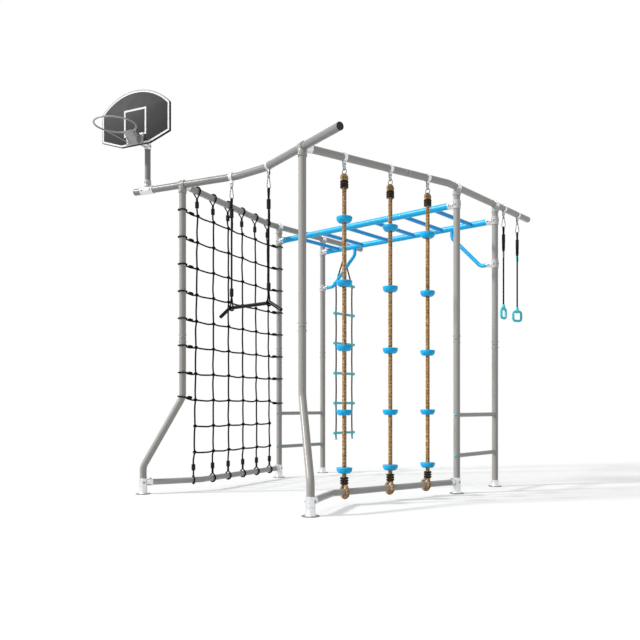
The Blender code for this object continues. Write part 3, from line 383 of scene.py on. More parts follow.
class Graph:
    def __init__(self, tree):
        self.tree = tree

    def node(self, kind, settings=None, values=None, output=0):
        made = self.tree.nodes.new("ShaderNode" + kind)
        for key, value in (settings or {}).items():
            if key == "stops":
                ramp = made.color_ramp
                while len(ramp.elements) < len(value):
                    ramp.elements.new(1)
                for element, (place, colour) in zip(ramp.elements, value):
                    element.position = place
                    element.color = (*colour, 1) if isinstance(colour, tuple) else (colour, colour, colour, 1)
            else:
                setattr(made, key, value)
        for key, value in (values or {}).items():
            if isinstance(value, Field):
                self.tree.links.new(value.socket, made.inputs[key])
            else:
                made.inputs[key].default_value = value
        return Field(self, made.outputs[output]) if len(made.outputs) else made

    def maths(self, operation, first, second=0.0):
        return self.node("Math", {"operation": operation}, {0: first, 1: second})

    def place(self):
        return self.node("TexCoord", output="Object")

    def parts(self, vector, count):
        return [self.node("SeparateXYZ", None, {"Vector": vector}, output=index) for index in range(count)]

    def stretched(self, scale, turn=(0, 0, 0), space=None):
        return self.node("Mapping", None, {"Vector": space or self.place(), "Scale": scale, "Rotation": turn})

    def noise(self, scale, detail=3.0, space=None, roughness=0.5):
        values = {"Vector": space or self.place(), "Scale": scale, "Detail": detail, "Roughness": roughness}
        return self.node("TexNoise", None, values)

    def plaits(self, first, second):
        # two sets of slanting waves crossed, from 0 in the valleys to 1 on the plaits
        return self.maths("SINE", first + second) * self.maths("SINE", first - second) * 0.5 + 0.5

    def ramp(self, value, *stops):
        return self.node("ValToRGB", {"stops": stops}, {"Fac": value})

    def blend(self, share, first, second):
        # a colour Mix node's sockets: 0 is the factor, 6 and 7 the two colours
        first, second = (value if isinstance(value, Field) else (*value, 1) for value in (first, second))
        return self.node("Mix", {"data_type": "RGBA"}, {0: share, 6: first, 7: second}, output=2)

    def finish(self, tone, roughness, height, depth, strength):
        relief = {"Height": height, "Distance": depth, "Strength": strength}
        bump = self.node("Bump", None, relief, "Normal")
        return {"Base Color": tone, "Roughness": roughness, "Normal": bump}


def shade(red, green, blue):
    # from the 0-255 values of a screen to the renderer's linear ones
    def linear(value):
        value /= 255
        return value / 12.92 if value <= 0.04045 else ((value + 0.055) / 1.055) ** 2.4

    return linear(red), linear(green), linear(blue)


def scaled(colour, factor, lift=0.0):
    return tuple(factor * channel + lift for channel in colour)


def material(name, recipe, **fixed):
    made = bpy.data.materials.new(name)
    made.use_nodes = True
    graph = Graph(made.node_tree)
    shader = made.node_tree.nodes["Principled BSDF"]
    for key, value in fixed.items():
        shader.inputs[key.replace("_", " ")].default_value = value
    for key, value in recipe(graph).items():
        made.node_tree.links.new(value.socket, shader.inputs[key])
    made.diffuse_color = (0.5, 0.5, 0.5, 1)
    return made


def painted(name, colour, gloss=0.36, specular=0.5, wear=0.04, **fixed):
    # powder coat: fine orange peel, slow drift of tone and a few dull rub marks
    colour = shade(*colour)

    def recipe(graph):
        drift = graph.noise(3.2, 2)
        peel = graph.noise(900, 2)
        rubs = graph.ramp(graph.noise(70, 6, roughness=0.7), (0.62, 0.0), (0.76, 1.0))
        tone = graph.blend(drift, scaled(colour, 0.93), colour)
        tone = graph.blend(rubs * wear, tone, scaled(colour, 0.7, 0.2))
        return graph.finish(tone, gloss + drift * 0.10 + rubs * 0.12, peel, 0.00012, 0.5)

    return material(name, recipe, Specular_IOR_Level=specular, **fixed)


def moulded(name, colour, grain=520, gloss=0.34, specular=0.35, **fixed):
    colour = shade(*colour)

    def recipe(graph):
        cloud = graph.noise(14, 3)
        tone = graph.blend(cloud, scaled(colour, 0.9), colour)
        return graph.finish(tone, gloss + cloud * 0.10, graph.noise(grain, 2), 0.0001, 0.4)

    return material(name, recipe, Specular_IOR_Level=specular, **fixed)


def zincCoat(graph):
    # hot-dip zinc: pale crystals of a few millimetres, matt where they meet
    crystals = graph.node("TexVoronoi", {"feature": "F1"}, {"Vector": graph.place(), "Scale": 120}, "Color")
    tone = graph.node("SeparateColor", None, {"Color": crystals})
    cloud = graph.noise(26, 4)
    pale = graph.blend(tone * 0.6 + cloud * 0.4, shade(212, 214, 216), shade(236, 237, 238))
    return graph.finish(pale, 0.26 + tone * 0.10 + cloud * 0.08, graph.noise(420, 3), 0.0001, 0.4)


def boltSteel(graph):
    scratch = graph.noise(60, 4, graph.stretched((1, 1, 9)))
    tone = graph.blend(scratch, shade(112, 115, 120), shade(196, 199, 203))
    return graph.finish(tone, 0.2 + scratch * 0.16, scratch, 0.0002, 0.3)


def steelWire(graph):
    # drawn wire: darker than the bolts, with short bright streaks
    streak = graph.noise(90, 5)
    tone = graph.blend(streak, shade(84, 86, 90), shade(160, 163, 168))
    return graph.finish(tone, 0.3 + streak * 0.2, streak, 0.0002, 0.3)


def blackBraid(graph):
    # crossed plaits from the cord's own UV map: u runs round it, v along it
    black = shade(22, 22, 23)
    around, lengthways = graph.parts(graph.node("TexCoord", output="UV"), 2)
    weave = graph.plaits(around * (6 * math.tau), lengthways * (60 * math.tau))
    fuzz = graph.noise(700, 3)
    stops = (0.15, shade(6, 6, 6)), (0.5, black), (1.0, scaled(black, 1.25))
    tone = graph.ramp(weave * 0.75 + fuzz * 0.35, *stops)
    return graph.finish(tone, 0.75 + fuzz * 0.2, weave + fuzz * 0.3, 0.0012, 0.7)


def hempFibre(graph):
    # upright rope: plaits drawn from the object's height with stray fibres along them
    space = graph.place()
    x, y, height = graph.parts(space, 3)
    plait = graph.plaits(height * (math.tau / 0.046), (x + y) * (math.tau / 0.036))
    fibres = graph.noise(160, 5, graph.stretched((3.2, 3.2, 0.7), (0.5, 0.4, 0), space), 0.7)
    share = fibres * 0.38 + graph.noise(110, 2, space) * 0.52 + plait * 0.10
    stops = (0.37, shade(62, 40, 18)), (0.48, shade(166, 126, 78)), (0.60, shade(236, 200, 148))
    tone = graph.ramp(share, *stops)
    tone = graph.blend(graph.noise(9, 3, space) * 0.25, tone, shade(150, 116, 72))
    return graph.finish(tone, 0.82 + fibres * 0.15, fibres + plait * 0.4, 0.0012, 0.8)


greyPaint = painted("warm_grey_powder_coat", (170, 167, 163), 0.28)
# the front beam gets the posts' grey made darker, which stands for the shade on it: painted shade
shadedBeamPaint = painted("front_beam_grey_painted_shade", (147, 146, 144), 0.28)
# the bottom bars get the posts' grey made lighter, which stands for the floor's reflection on them: painted
# reflection
litBarPaint = painted("bottom_bar_grey_painted_reflection", (188, 186, 183), 0.24)
railPaint = painted("rail_blue_paint", (6, 190, 250), 0.3, 0.35)
rungPaint = painted("rung_blue_paint", (5, 172, 250), 0.3, 0.3)
zinc = material("galvanised_zinc", zincCoat, Metallic=0.88)
fittingPaint = painted("pale_fitting_coat", (204, 203, 201), 0.3)
boltMetal = material("zinc_bolts", boltSteel, Metallic=0.7)
linkSteel = material("grey_link_steel", steelWire, Metallic=0.5)
hemp = material("hemp_rope", hempFibre, Sheen_Weight=0.1, Specular_IOR_Level=0.2)
blackCord = material("black_braid", blackBraid, Specular_IOR_Level=0.12)
blackBand = moulded("black_whipping", (14, 14, 15), 300, 0.5, 0.2)
blackPlastic = moulded("black_end_cap", (18, 19, 20))
blackPaint = painted("black_trapeze_paint", (9, 9, 10), 0.26, 0.14, wear=0.02)
discPlastic = moulded("blue_disc_plastic", (4, 190, 255), Subsurface_Weight=0.35, Subsurface_Scale=0.03)
turquoise = moulded("turquoise_plastic", (84, 228, 236))
boardFace = moulded("board_face", (52, 52, 53), 240, 0.55, 0.2)
boardEdge = moulded("board_edge_black", (6, 6, 7), 240, 0.6, 0.06)
boardRim = moulded("board_rim_grey", (96, 97, 99), 240, 0.5, 0.2)
lineWhite = moulded("white_line", (244, 244, 244), 300, 0.5, 0.5)
polePaint = painted("pole_grey_paint", (150, 150, 151), 0.5, 0.25)
hoopPaint = painted("hoop_grey_paint", (168, 168, 169), Metallic=0.2)
print("materials made")


# Camera

view = {
    "place": (3.732278, -4.259575, 0.6485),
    "heading": math.radians(39.69),
    "lens": 40,
    "sensor": 36,
    "shift": (-0.0346, 0.1344),
}
lensData = bpy.data.cameras.new("view")
lensData.lens, lensData.sensor_width = view["lens"], view["sensor"]
lensData.shift_x, lensData.shift_y = view["shift"]
camera = bpy.data.objects.new("view", lensData)
camera.location = view["place"]
camera.rotation_euler = (math.pi / 2, 0, view["heading"])
bpy.context.scene.collection.objects.link(camera)
bpy.context.scene.camera = camera


# Cords

ropes = {
    "places": (0.324, 0.711, 1.054),
    "radius": 0.0145,
    "low": 0.135,
    "high": 2.125,
    "cordTop": 2.120,
    "cordLength": 1.98,
    "eyeTop": 2.171,
    "lay": 0.064,
    "lobes": 8,
    "relief": 0.0007,
    "legs": 0.0180,
    "eyeWire": 0.0128,
    "held": 0.0100,
    "eyeLow": 2.069,
    "eyeHigh": 2.112,
    "eyeTurn": 2.122,
    "tail": 0.0095,
    "loopEnds": (0.183, 0.138),
    "loopAngles": (math.radians(-38), math.radians(256)),
    "loopRadius": 0.0357,
    "loopCord": 0.0123,
    "bands": (2.1135, 2.0970, 2.0805, 0.1770, 0.1605, 0.1440),
    "bandHalf": 0.0060,
    "bandRadius": 0.0278,
    "discs": (1.867, 1.450, 1.028, 0.606, 0.228),
    "discHalf": 0.019,
    "ring": 0.022,
}


def layRope(name, radius, low, high, lay, lobes, relief):
    # a lobed section wound upwards, so that the plaits stand proud of the edge
    rope = startDisc(name, at(origin, low), up, radius - relief, lobes * 5, "NOTHING")
    pick(rope, lambda vertex: vertex.index % 5 in (0, 1, 4))
    grow = radius / (radius - relief)
    bpy.ops.transform.resize(value=(grow, grow, 1), center_override=(0, 0, low))
    choose(rope)
    turns = round((high - low) / lay)
    screw = rope.modifiers.new("Screw", "SCREW")
    screw.angle, screw.screw_offset = math.tau * turns, high - low
    screw.steps = screw.render_steps = 14 * turns
    screw.use_merge_vertices = False
    bpy.ops.object.modifier_apply(modifier=screw.name)
    edit(rope, "EDGE")
    bpy.ops.mesh.select_non_manifold()
    bpy.ops.mesh.edge_face_add()
    return endEdit(rope, hemp, 60)


ropeMaster = layRope("rope_run", *(ropes[key] for key in ("radius", "low", "high", "lay", "lobes", "relief")))
ropeRuns = []
for number, distance in enumerate(ropes["places"], 1):
    spot[f"rope_{number}"] = spot["right_front"] + splayed["right"] * distance
    run = copyAt(ropeMaster, f"climbing_rope_{number}", spot[f"rope_{number}"])[0]
    ropeRuns.append(mount(run, "frame", "disc_ropes", f"disc_rope_{number}"))
discard(ropeMaster)

swings = {
    "trapezeHalf": 0.187,
    "rings": {"left": 0.149, "right": 0.400},
    "ringTurns": {"left": 0.0, "right": math.radians(-30)},
    "ladder": 0.327,
    "cord": 0.0066,
    "ladderCord": 0.0072,
    "trapezeLine": (2.100, 0.033, 22),
    "ringLine": (2.105, 0.0309, 21),
    "linkLength": 0.073,
}
ladder = {
    "rungs": 6,
    "knot": 2.146,
    "top": 1.870,
    "pitch": 0.298,
    "lines": 0.127,
    "drawn": 0.0035,
    "end": 0.324,
    "ring": 0.0237,
    "topKnots": ((2.140, 0.25), (2.149, -0.3), (2.156, 0.2)),
    "topTurn": (0.0072, 0.0048),
    "knotUnder": 0.0195,
    "knotTurn": (0.0052, 0.0040),
    "collarOver": 0.0160,
    "collarTurn": (0.0050, 0.0024),
}
for side in sides:
    fromBend = (swings["trapezeHalf"] - halfFlat) / math.cos(plan["splay"])
    spot["trapeze_" + side] = spot[side + "_flat"] + frontRun[side] * fromBend
    spot["ring_" + side] = spot["right_far"] + back * swings["rings"][side]
spot["ladder"] = spot["left_far"] + back * swings["ladder"]
linkBottom = plan["hingeHeight"] - swings["linkLength"]


def hangingCord(name, points, radius, farEnd, *place):
    cord = mount(strand(name, blackCord, points, radius, detail=4), *place)
    length = sum((b - a).length for a, b in zip(points, points[1:]))
    2 * radius


def straightDown(place, top, pitch, count):
    return [at(place, top - pitch * step) for step in range(count)]


def ladderLine(place, sign):
    # from the knot out to the top rung and down through the rungs, drawn in a little between them
    start, top = at(place + back * sign * 0.004, ladder["knot"]), ladder["top"]
    spread = at(place + back * sign * ladder["lines"], top)
    points = [start, *(start.lerp(spread, step / 5) for step in range(1, 6))]
    for rung in range(ladder["rungs"] - 1):
        for step in range(1, 7):
            reach = ladder["lines"] - ladder["drawn"] * math.sin(math.pi * step / 6)
            points.append(at(place + back * sign * reach, top - ladder["pitch"] * (rung + step / 6)))
    return [*points, at(place + back * sign * ladder["lines"], ladder["end"])]


radius = swings["cord"]
for side in sides:
    points = straightDown(spot["trapeze_" + side], *swings["trapezeLine"])
    place = ("trapeze", "black_rope", f"trapeze_rope_{side}")
    hangingCord(f"trapeze_cord_{side}", points, radius, "object", *place)
    points = straightDown(spot["ring_" + side], *swings["ringLine"])
    place = (f"ring_{side}", "black_rope", f"ring_cord_{side}")
    hangingCord(f"ring_line_{side}", points, radius, "object", *place)
for name, sign in (("near", -1), ("far", 1)):
    points = ladderLine(spot["ladder"], sign)
    hangingCord(f"ladder_line_{name}", points, swings["ladderCord"], "knot", *["rope_ladder"] * 3)
print("camera and cords placed")


# Bolts and end caps, modelled once

shapes = {
    "hex": mm((6.8, 1), (6.8, 4.2), (5.848, 5.2)),
    "washer": mm((9.4, -0.6), (9.4, 0.8), (8.836, 1.2)),
    "dome": mm((6.8, -0.6), (6.6, 1), (5.6, 2.6), (3.6, 3.7), (1.4, 4.1)),
    "cap": mm((9.2, -0.8), (9.2, 1.8), (8.2, 5), (5.6, 7.4), (2.2, 8.3)),
    "end": mm((23.2, -12), (23.6, -0.2), (25, 0), (25, 4), (24, 5.6), (20.5, 5.8), (19, 3.6), (4, 3)),
}
hexHead = turned("hex_head", boltMetal, origin, up, shapes["hex"], 6, angle=20)
hexBolt = joined("hex_bolt", [hexHead, turned("washer", boltMetal, origin, up, shapes["washer"], 20)])
domeBolt = turned("dome_bolt", boltMetal, origin, up, shapes["dome"], 20, angle=60)
capBolt = turned("cap_bolt", turquoise, origin, up, shapes["cap"], 24, angle=60)
endCap = turned("end_cap", blackPlastic, origin, up, shapes["end"])


def bolts(kind, spots):
    return [copyOf(kind, "bolt", seat(point, way)) for point, way in spots]


def opposite(centre, way, reach):
    # a place for a bolt on each side of a centre
    return [(centre + way * k * reach, way * k) for k in bothWays]


# Posts

seam = {
    "height": 1.145,
    "boltAbove": 0.024,
    "facing": Vector((0.62, -0.78, 0)),
    "boltReach": 0.0249,
    "line": (0.0246, 0.02522, 0.0009, 0.0002),
}


def jointLine(centre, way):
    return sleeve("seam", blackPlastic, centre, way, *seam["line"])


def frameTube(node, parts, slot="grey_frame"):
    return fitted(node + "_tube", parts, "frame", slot, node)


for name in postNames:
    tube = pipe("post", greyPaint, postCorners(name), plan["tube"])
    parts = [tube, jointLine(at(spot[name], seam["height"]), up)]
    for k in bothWays:
        centre = at(spot[name], seam["height"] + k * seam["boltAbove"])
        parts += bolts(domeBolt, opposite(centre, seam["facing"].cross(up), seam["boltReach"]))
    frameTube(f"post_{name}", parts)
print("posts made")


# Beams and bottom bars

beams = {
    "overhangFront": {"left": 0.443, "right": 0.415},
    "overhangBack": 0.605,
    "socketBack": 0.0339,
    "capLength": 0.006,
    "seam": 0.3995,
    "seamBolts": (0.382, 0.417),
}


def capped(paint, corners, capEnds):
    # a tube whose capped ends are drawn back by the cap's own length
    corners = list(corners)
    caps = []
    for index, inner in capEnds:
        way = (corners[index] - corners[inner]).normalized()
        corners[index] = corners[index] - way * beams["capLength"]
        caps.append(copyOf(endCap, "cap", seat(corners[index], way)))
    return [pipe("beam", paint, corners, plan["tube"]), *caps]


firstEnd, lastEnd = (0, 1), (-1, -2)
height = plan["beamHeight"]
frontEnds = {side: spot[side + "_front"] + frontRun[side] * beams["overhangFront"][side] for side in sides}
corners = (frontEnds["left"], spot["left_flat"], spot["right_flat"], frontEnds["right"])
corners = [at(point, height) for point in corners]
# the front beam is coated in the darker grey that stands for shade on it: painted shade
frameTube("beam_front", capped(shadedBeamPaint, corners, (firstEnd, lastEnd)))
for side in sides:
    start = spot[side + "_front"] + splayed[side] * beams["socketBack"]
    bend = spot[side + "_near"] - back * plan["bendBeforePost"]
    end = spot[side + "_far"] + back * beams["overhangBack"]
    parts = capped(greyPaint, [at(p, height) for p in (start, bend, end)], (lastEnd,))
    run = (start - bend).normalized()
    parts.append(jointLine(at(bend + run * beams["seam"], height), splayed[side]))
    for reach in beams["seamBolts"]:
        spots = opposite(at(bend + run * reach, height), splayed[side].cross(up), seam["boltReach"])
        parts += bolts(domeBolt, spots)
    frameTube(f"beam_{side}", parts)


def barWay(side, end):
    start = spot[side + "_foot"] if end == "front" else spot[side + "_near"]
    return (spot[side + "_bar"] - start).normalized()


for side, node in (("left", "net_bar"), ("right", "rope_bar")):
    front = spot[side + "_foot"] + barWay(side, "front") * plan["inSocket"]
    near = spot[side + "_near"] + barWay(side, "near") * plan["inSocket"]
    corners = [at(p, plan["barHeight"]) for p in (front, spot[side + "_bar"], near)]
    # the bars are coated in the lighter grey that stands for the floor's reflection: painted reflection
    frameTube(node, [pipe(node, litBarPaint, corners, plan["barTube"])])
print("beams and bottom bars made")


# Monkey bars, steps and braces

bars = {
    "rungs": 6,
    "pitch": 0.285,
    "inRail": 0.0225,
    "gap": 0.0004,
    "joinBolt": 0.024,
    "steps": {"lower": 0.280, "upper": 0.582},
    "stepBolt": 0.0248,
    "brace": ((0.034, 1.795), (0.130, 1.795), (0.400, 2.065), (0.400, 2.1225)),
    "braceBend": 0.06,
}
height = plan["railHeight"]
for row, outwards in (("near", -1), ("far", 1)):
    for side, sign in sides.items():
        start = at(spot[f"{side}_{row}"] - along * sign * plan["inSocket"], height)
        end = Vector((middleX + sign * bars["gap"], start.y, height))
        rail = pipe("rail", railPaint, [start, end], plan["tube"])
        spots = opposite(Vector((middleX + sign * bars["joinBolt"], start.y, height)), up, seam["boltReach"])
        for number in range(bars["rungs"] // 2):
            x = middleX + sign * (number + 0.5) * bars["pitch"]
            spots.append((Vector((x, start.y + outwards * seam["boltReach"], height)), back * outwards))
        frameTube(f"rail_{row}_{side}", [rail, *bolts(domeBolt, spots)], "blue_tubes")


def crossBar(name, paint, near, far, height):
    ends = [at(near + back * bars["inRail"], height), at(far - back * bars["inRail"], height)]
    return pipe(name, paint, ends, plan["smallTube"], count=24)


for number in range(bars["rungs"]):
    x = middleX + (number - (bars["rungs"] - 1) / 2) * bars["pitch"]
    near, far = (Vector((x, spot[place].y, 0)) for place in ("left_near", "left_far"))
    rung = crossBar(f"rung_{number + 1}_tube", rungPaint, near, far, height)
    mount(rung, "frame", "blue_tubes", f"monkey_rung_{number + 1}")
for side in sides:
    near, far = spot[side + "_near"], spot[side + "_far"]
    for level, height in bars["steps"].items():
        outside = back * bars["stepBolt"]
        caps = bolts(capBolt, [(at(near, height) - outside, -back), (at(far, height) + outside, back)])
        frameTube(f"step_{side}_{level}", [crossBar("step", greyPaint, near, far, height), *caps])
for side, sign in sides.items():
    corners = [at(spot[side + "_far"] - along * sign * reach, height) for reach, height in bars["brace"]]
    brace = pipe("brace", railPaint, corners, plan["smallTube"], bars["braceBend"], 24)
    frameTube(f"brace_{side}", [brace], "blue_tubes")
print("monkey bars, steps and braces made")


# Clamps, tees and feet

fitting = {
    "inner": 0.0254,
    "outer": 0.0296,
    "clamp": (0.033, 0.0016),
    "gap": 0.0004,
    "bolt": 0.0292,
    "boltOut": 0.054,
    "socketWall": 0.0042,
    "tee": mm(
        (25.4, 2213), (28.4, 2213), (29.6, 2214.5), (29.6, 2240), (29.6, 2258), (27, 2270), (25.4, 2270)
    ),
    "teeBolt": 2.226,
    "saddle": (0.0302, 0.024, 0.0014),
    "saddleBolt": (0.014, 0.0298),
    "socket": mm((3, 22), (3, 40), (4.6, 42), (4.6, 60), (4, 62), (4.6, 64), (4.6, 67), (3.6, 68)),
}


def socketSleeve(name, centre, way, tube):
    inner, outside = tube + fitting["gap"], [(tube + wall, reach) for wall, reach in fitting["socket"]]
    profile = [(inner, outside[0][1]), *outside, (inner, outside[-1][1])]
    return turned(name, zinc, centre, way, profile, closed=True)


def frameFitting(node, parts, spots):
    fitted(node + "_body", parts + bolts(hexBolt, spots), "frame", "galvanised_fittings", node)


for name in postNames:
    post = spot[name]
    side, front = name.split("_")[0], name.endswith("front")
    beamWay = frontRun[side] if front else back
    centre, (aside, above) = at(post, plan["beamHeight"]), fitting["saddleBolt"]
    cupPaint, saddlePaint = (greyPaint, greyPaint) if front else (fittingPaint, zinc)
    parts = [
        turned("tee_cup", cupPaint, post, up, fitting["tee"], closed=True),
        sleeve("tee_saddle", saddlePaint, centre, beamWay, fitting["inner"], *fitting["saddle"]),
    ]
    if front:
        parts.append(socketSleeve("tee_socket", centre, splayed[side], plan["tube"]))
    spots = opposite(at(post, fitting["teeBolt"]), beamWay.cross(up), fitting["bolt"])
    spots += [(centre + beamWay * k * aside + up * above, up) for k in bothWays]
    frameFitting(f"tee_{name}", parts, spots)


def clampBody(node, post, height, way, tube):
    centre, cross = at(post, height), way.cross(up)
    inner, outer, bolt = fitting["inner"], fitting["outer"], fitting["bolt"]
    ring = sleeve("clamp_ring", fittingPaint, centre, up, inner, outer, *fitting["clamp"])
    spots = opposite(centre, cross, bolt)
    spots += opposite(centre + way * fitting["boltOut"], cross, tube + fitting["socketWall"])
    spots.append((centre - way * bolt, -way))
    frameFitting(node, [ring, socketSleeve("clamp_socket", centre, way, tube)], spots)


for side, sign in sides.items():
    way, height = -along * sign, plan["railHeight"]
    for row in ("near", "far"):
        clampBody(f"rail_clamp_{side}_{row}", spot[f"{side}_{row}"], height, way, plan["tube"])
    clampBody(f"brace_clamp_{side}", spot[side + "_far"], plan["braceHeight"], way, plan["smallTube"])

feet = {
    "short": 0.052,
    "tall": 0.117,
    "groove": mm((29.6, 57.6), (27.6, 56.8), (27.6, 54), (29.6, 53.2)),
    "base": mm((29.6, 11), (31.8, 6.8), (34.5, 5), (12, 5), (12, 12)),
    "plate": mm((54, 0), (54.6, 0.6), (54.6, 3.6), (53.2, 5), (30, 5)),
    "cupLow": 0.012,
    "lip": 0.0012,
    "boltHeight": 0.034,
    "barBolt": 0.0262,
}
for name in postNames:
    side, end = name.split("_")
    place, tall = spot[name.replace("front", "foot")], end != "far"
    top = feet["tall"] if tall else feet["short"]
    inner, outer, lip = fitting["inner"], fitting["outer"], feet["lip"]
    profile = [(inner, feet["cupLow"]), (inner, top), (outer - lip, top), (outer, top - lip)]
    profile += [*(feet["groove"] if tall else []), *feet["base"]]
    parts = [
        turned("foot_cup", zinc, place, up, profile, 40, closed=True),
        turned("foot_plate", linkSteel, place, up, feet["plate"], 48),
    ]
    spots = [(at(place, feet["boltHeight"]) + back * fitting["bolt"], back)]
    if tall:
        way, centre = barWay(side, end), at(place, plan["barHeight"])
        parts.append(socketSleeve("foot_socket", centre, way, plan["barTube"]))
        spots += opposite(centre, way.cross(up), fitting["bolt"])
        spots.append((centre + way * fitting["boltOut"] + up * feet["barBolt"], up))
    frameFitting(f"foot_{name}", parts, spots)
print("tees, clamps and feet made")


# Hangers with their eyes

hang = {
    "strap": (0.0252, 0.0283, 0.0125, 0.0006),
    "plateOut": 0.00525,
    "plate": (0.0235, 0.0017, 0.037),
    # size of the black block between the plates, which stands for the shade between them: painted shade
    "painted_shade_block": (0.0225, 0.0086, 0.034),
    "middle": -0.0430,
    "boltHeight": -0.046,
    "bolt": 0.0065,
    "strapBolt": (0.0065, 0.0281),
    "shank": mm((3.4, -64), (3.4, -46)),
    "eye": 0.010,
    "eyeWire": 0.0033,
    "inEye": 0.0072,
}


def hangerBody():
    # along the beam is X: a band round the tube, two plates below it, a bolt and an eye
    axes, aside, above = (along, back, up), *hang["strapBolt"]
    parts = [sleeve("strap", zinc, origin, along, *hang["strap"])]
    for k in bothWays:
        centre = Vector((0, k * hang["plateOut"], hang["middle"]))
        parts.append(block("plate", zinc, centre, axes, hang["plate"], 0.0006))
    parts += bolts(hexBolt, opposite(Vector((0, 0, hang["boltHeight"])), back, hang["bolt"]))
    parts += bolts(domeBolt, [(Vector((k * aside, 0, above)), up) for k in bothWays])
    # a black block between the two plates, standing for the shade between them: painted shade
    parts.append(block("painted_shade_block", blackPlastic, Vector((0, 0, hang["middle"])), axes, hang["painted_shade_block"]))
    return joined("hanger", [*parts, turned("eye_shank", boltMetal, origin, up, hang["shank"], 12)])


def hungRing(name, place, way, radius):
    # a ring of wire that hangs in a hanger's eye
    centre = at(place, plan["hingeHeight"] + hang["inEye"] - radius)
    return torusWire(name, linkSteel, centre, way, radius, 0.003, 44, 12)


hangerMaster = hangerBody()
hangers = {f"rope_{number}": ("beam_right", splayed["right"], splayed["right"]) for number in (1, 2, 3)}
for side in sides:
    hangers["trapeze_" + side] = ("beam_front", frontRun[side], along)
    hangers["ring_" + side] = ("beam_right", back, back)
hangers["ladder"] = ("beam_left", back, back)
for name, (node, beamWay, wireWay) in hangers.items():
    matrix = axesAt(at(spot[name], plan["beamHeight"]), beamWay, up.cross(beamWay), up)
    centre = at(spot[name], plan["hingeHeight"] + hang["eye"])
    eye = torusWire("eye", linkSteel, centre, wireWay.cross(up), hang["eye"], hang["eyeWire"], 28, 10)
    parts = [copyOf(hangerMaster, "body", matrix), eye]
    fitted(f"hanger_{name}", parts, "frame", "galvanised_fittings", node)
discard(hangerMaster)
print("hangers made")


# Climbing ropes: eyes, whippings, discs and loops round the bar

discProfile = mm(
    (14.6, 0), (45.5, 0), (49.8, 0.5), (51.8, 1.8), (52.5, 4.4), (52.3, 10), (51.6, 17), (50, 23),
    (46.8, 28.5), (42.8, 33), (39.6, 36), (37, 37.6), (34.4, 38), (33, 35), (20.5, 35), (19, 37.5),
    (14.6, 37.5),
)
discProfile = [(radius, ropes["discHalf"] - drop) for radius, drop in discProfile]
discMaster = turned("disc", discPlastic, origin, up, discProfile, 56, closed=True, angle=50)


def bandRing(radius, half):
    bulge = half * 0.3
    lower = [(radius - 0.006, -half), (radius - bulge, -half), (radius - bulge * 0.35, -half * 0.72)]
    profile = [*lower, (radius, 0.0), *((reach, -height) for reach, height in reversed(lower))]
    return turned("band", blackBand, origin, up, profile, 36, closed=True, angle=60)


bandMaster = bandRing(ropes["bandRadius"], ropes["bandHalf"])
barSide = barWay("right", "near").cross(up)
barRun = (spot["right_near"] - spot["right_bar"]).normalized()
way, legs, held = splayed["right"], ropes["legs"], ropes["held"]


def pair(place, aside, low, high):
    # the two ends of a turned cord, the first going up and the second coming down
    first, second = place - aside, place + aside
    return [at(first, low), at(first, high)], [at(second, high), at(second, low)]


for number, run in enumerate(ropeRuns, 1):
    place = spot[f"rope_{number}"]
    # the eye: the rope turned over the ring's wire, both legs held by the bands
    centre = at(place, ropes["eyeTop"] - legs - ropes["eyeWire"])
    rise, fall = pair(place, way * held, ropes["eyeLow"], ropes["eyeHigh"])
    rise.append(at(place - way * (held + legs) / 2, ropes["eyeTurn"]))
    fall.insert(0, at(place + way * (held + legs) / 2, ropes["eyeTurn"]))
    points = rise + arc(centre, legs, -way, up, 0, math.pi, 12) + fall
    tail = [at(place - barSide * 0.006, ropes["eyeLow"]), centre - barSide * 0.008 - up * 0.004]
    eye = strand("eye", hemp, points, ropes["eyeWire"], detail=5)
    eye = joined(f"rope_eye_{number}", [eye, strand("tail", hemp, tail, ropes["tail"], detail=4)])
    bands, discs = ([at(place, height) for height in ropes[kind]] for kind in ("bands", "discs"))
    bands = joined(f"rope_bands_{number}", copyAt(bandMaster, "band", *bands))
    discs = joined(f"rope_discs_{number}", copyAt(discMaster, "disc", *discs))
    # the loop that goes round the bottom bar
    onBar = at(spot["right_bar"] + barRun * (place - spot["right_bar"]).dot(barRun), plan["barHeight"])
    fall, rise = pair(place, -barSide * held, *ropes["loopEnds"])
    points = fall + arc(onBar, ropes["loopRadius"], barSide, -up, *ropes["loopAngles"], 16) + rise
    loop = strand(f"rope_loop_{number}", hemp, points, ropes["loopCord"], detail=5)
    ring = hungRing(f"rope_ring_{number}", place, way, ropes["ring"])
    pieces = [eye, bands, discs, loop, ring]
    for piece in pieces:
        mount(piece, "frame", "disc_ropes", f"disc_rope_{number}")
    path = [tuple(point) for point in straightDown(place, ropes["cordTop"], ropes["cordLength"] / 20, 21)]
discard(discMaster, bandMaster)
print("climbing ropes made")


# Climbing net

net = {
    "cord": 0.0064,
    "rows": 10,
    "tied": 8,
    "columns": 6,
    "first": 0.166,
    "last": 1.200,
    "top": 2.090,
    "pitch": 0.1992,
    "topFerrule": 2.172,
    "topApex": 2.216,
    "lowFerrule": 0.183,
    "lowApex": 0.126,
    "ferrule": 0.024,
    "sag": (0.0082, 0.0016),
    "bow": (0.0068, 0.0026),
    "knotTurn": (0.0096, 0.0056),
    "knotLean": math.radians(38),
    "knotCore": 0.0098,
    "tie": (0.03136, 0.005184),
    "loopCord": 0.00612,
    "neck": 0.0042,
    "neckCord": 0.0050,
    "lift": {"left_near": -0.021, "left_front": 0.021},
    "drift": 0.011,
    "lashing": {"left_near": 0.046, "left_front": 0.082},
    "lashPitch": 0.0098,
    "lashTurn": (0.0074, 0.0007, 0.0052),
}
near, front, bar, foot = (spot["left_" + place] for place in ("near", "front", "bar", "foot"))
bend = near - back * plan["bendBeforePost"]
columns = []
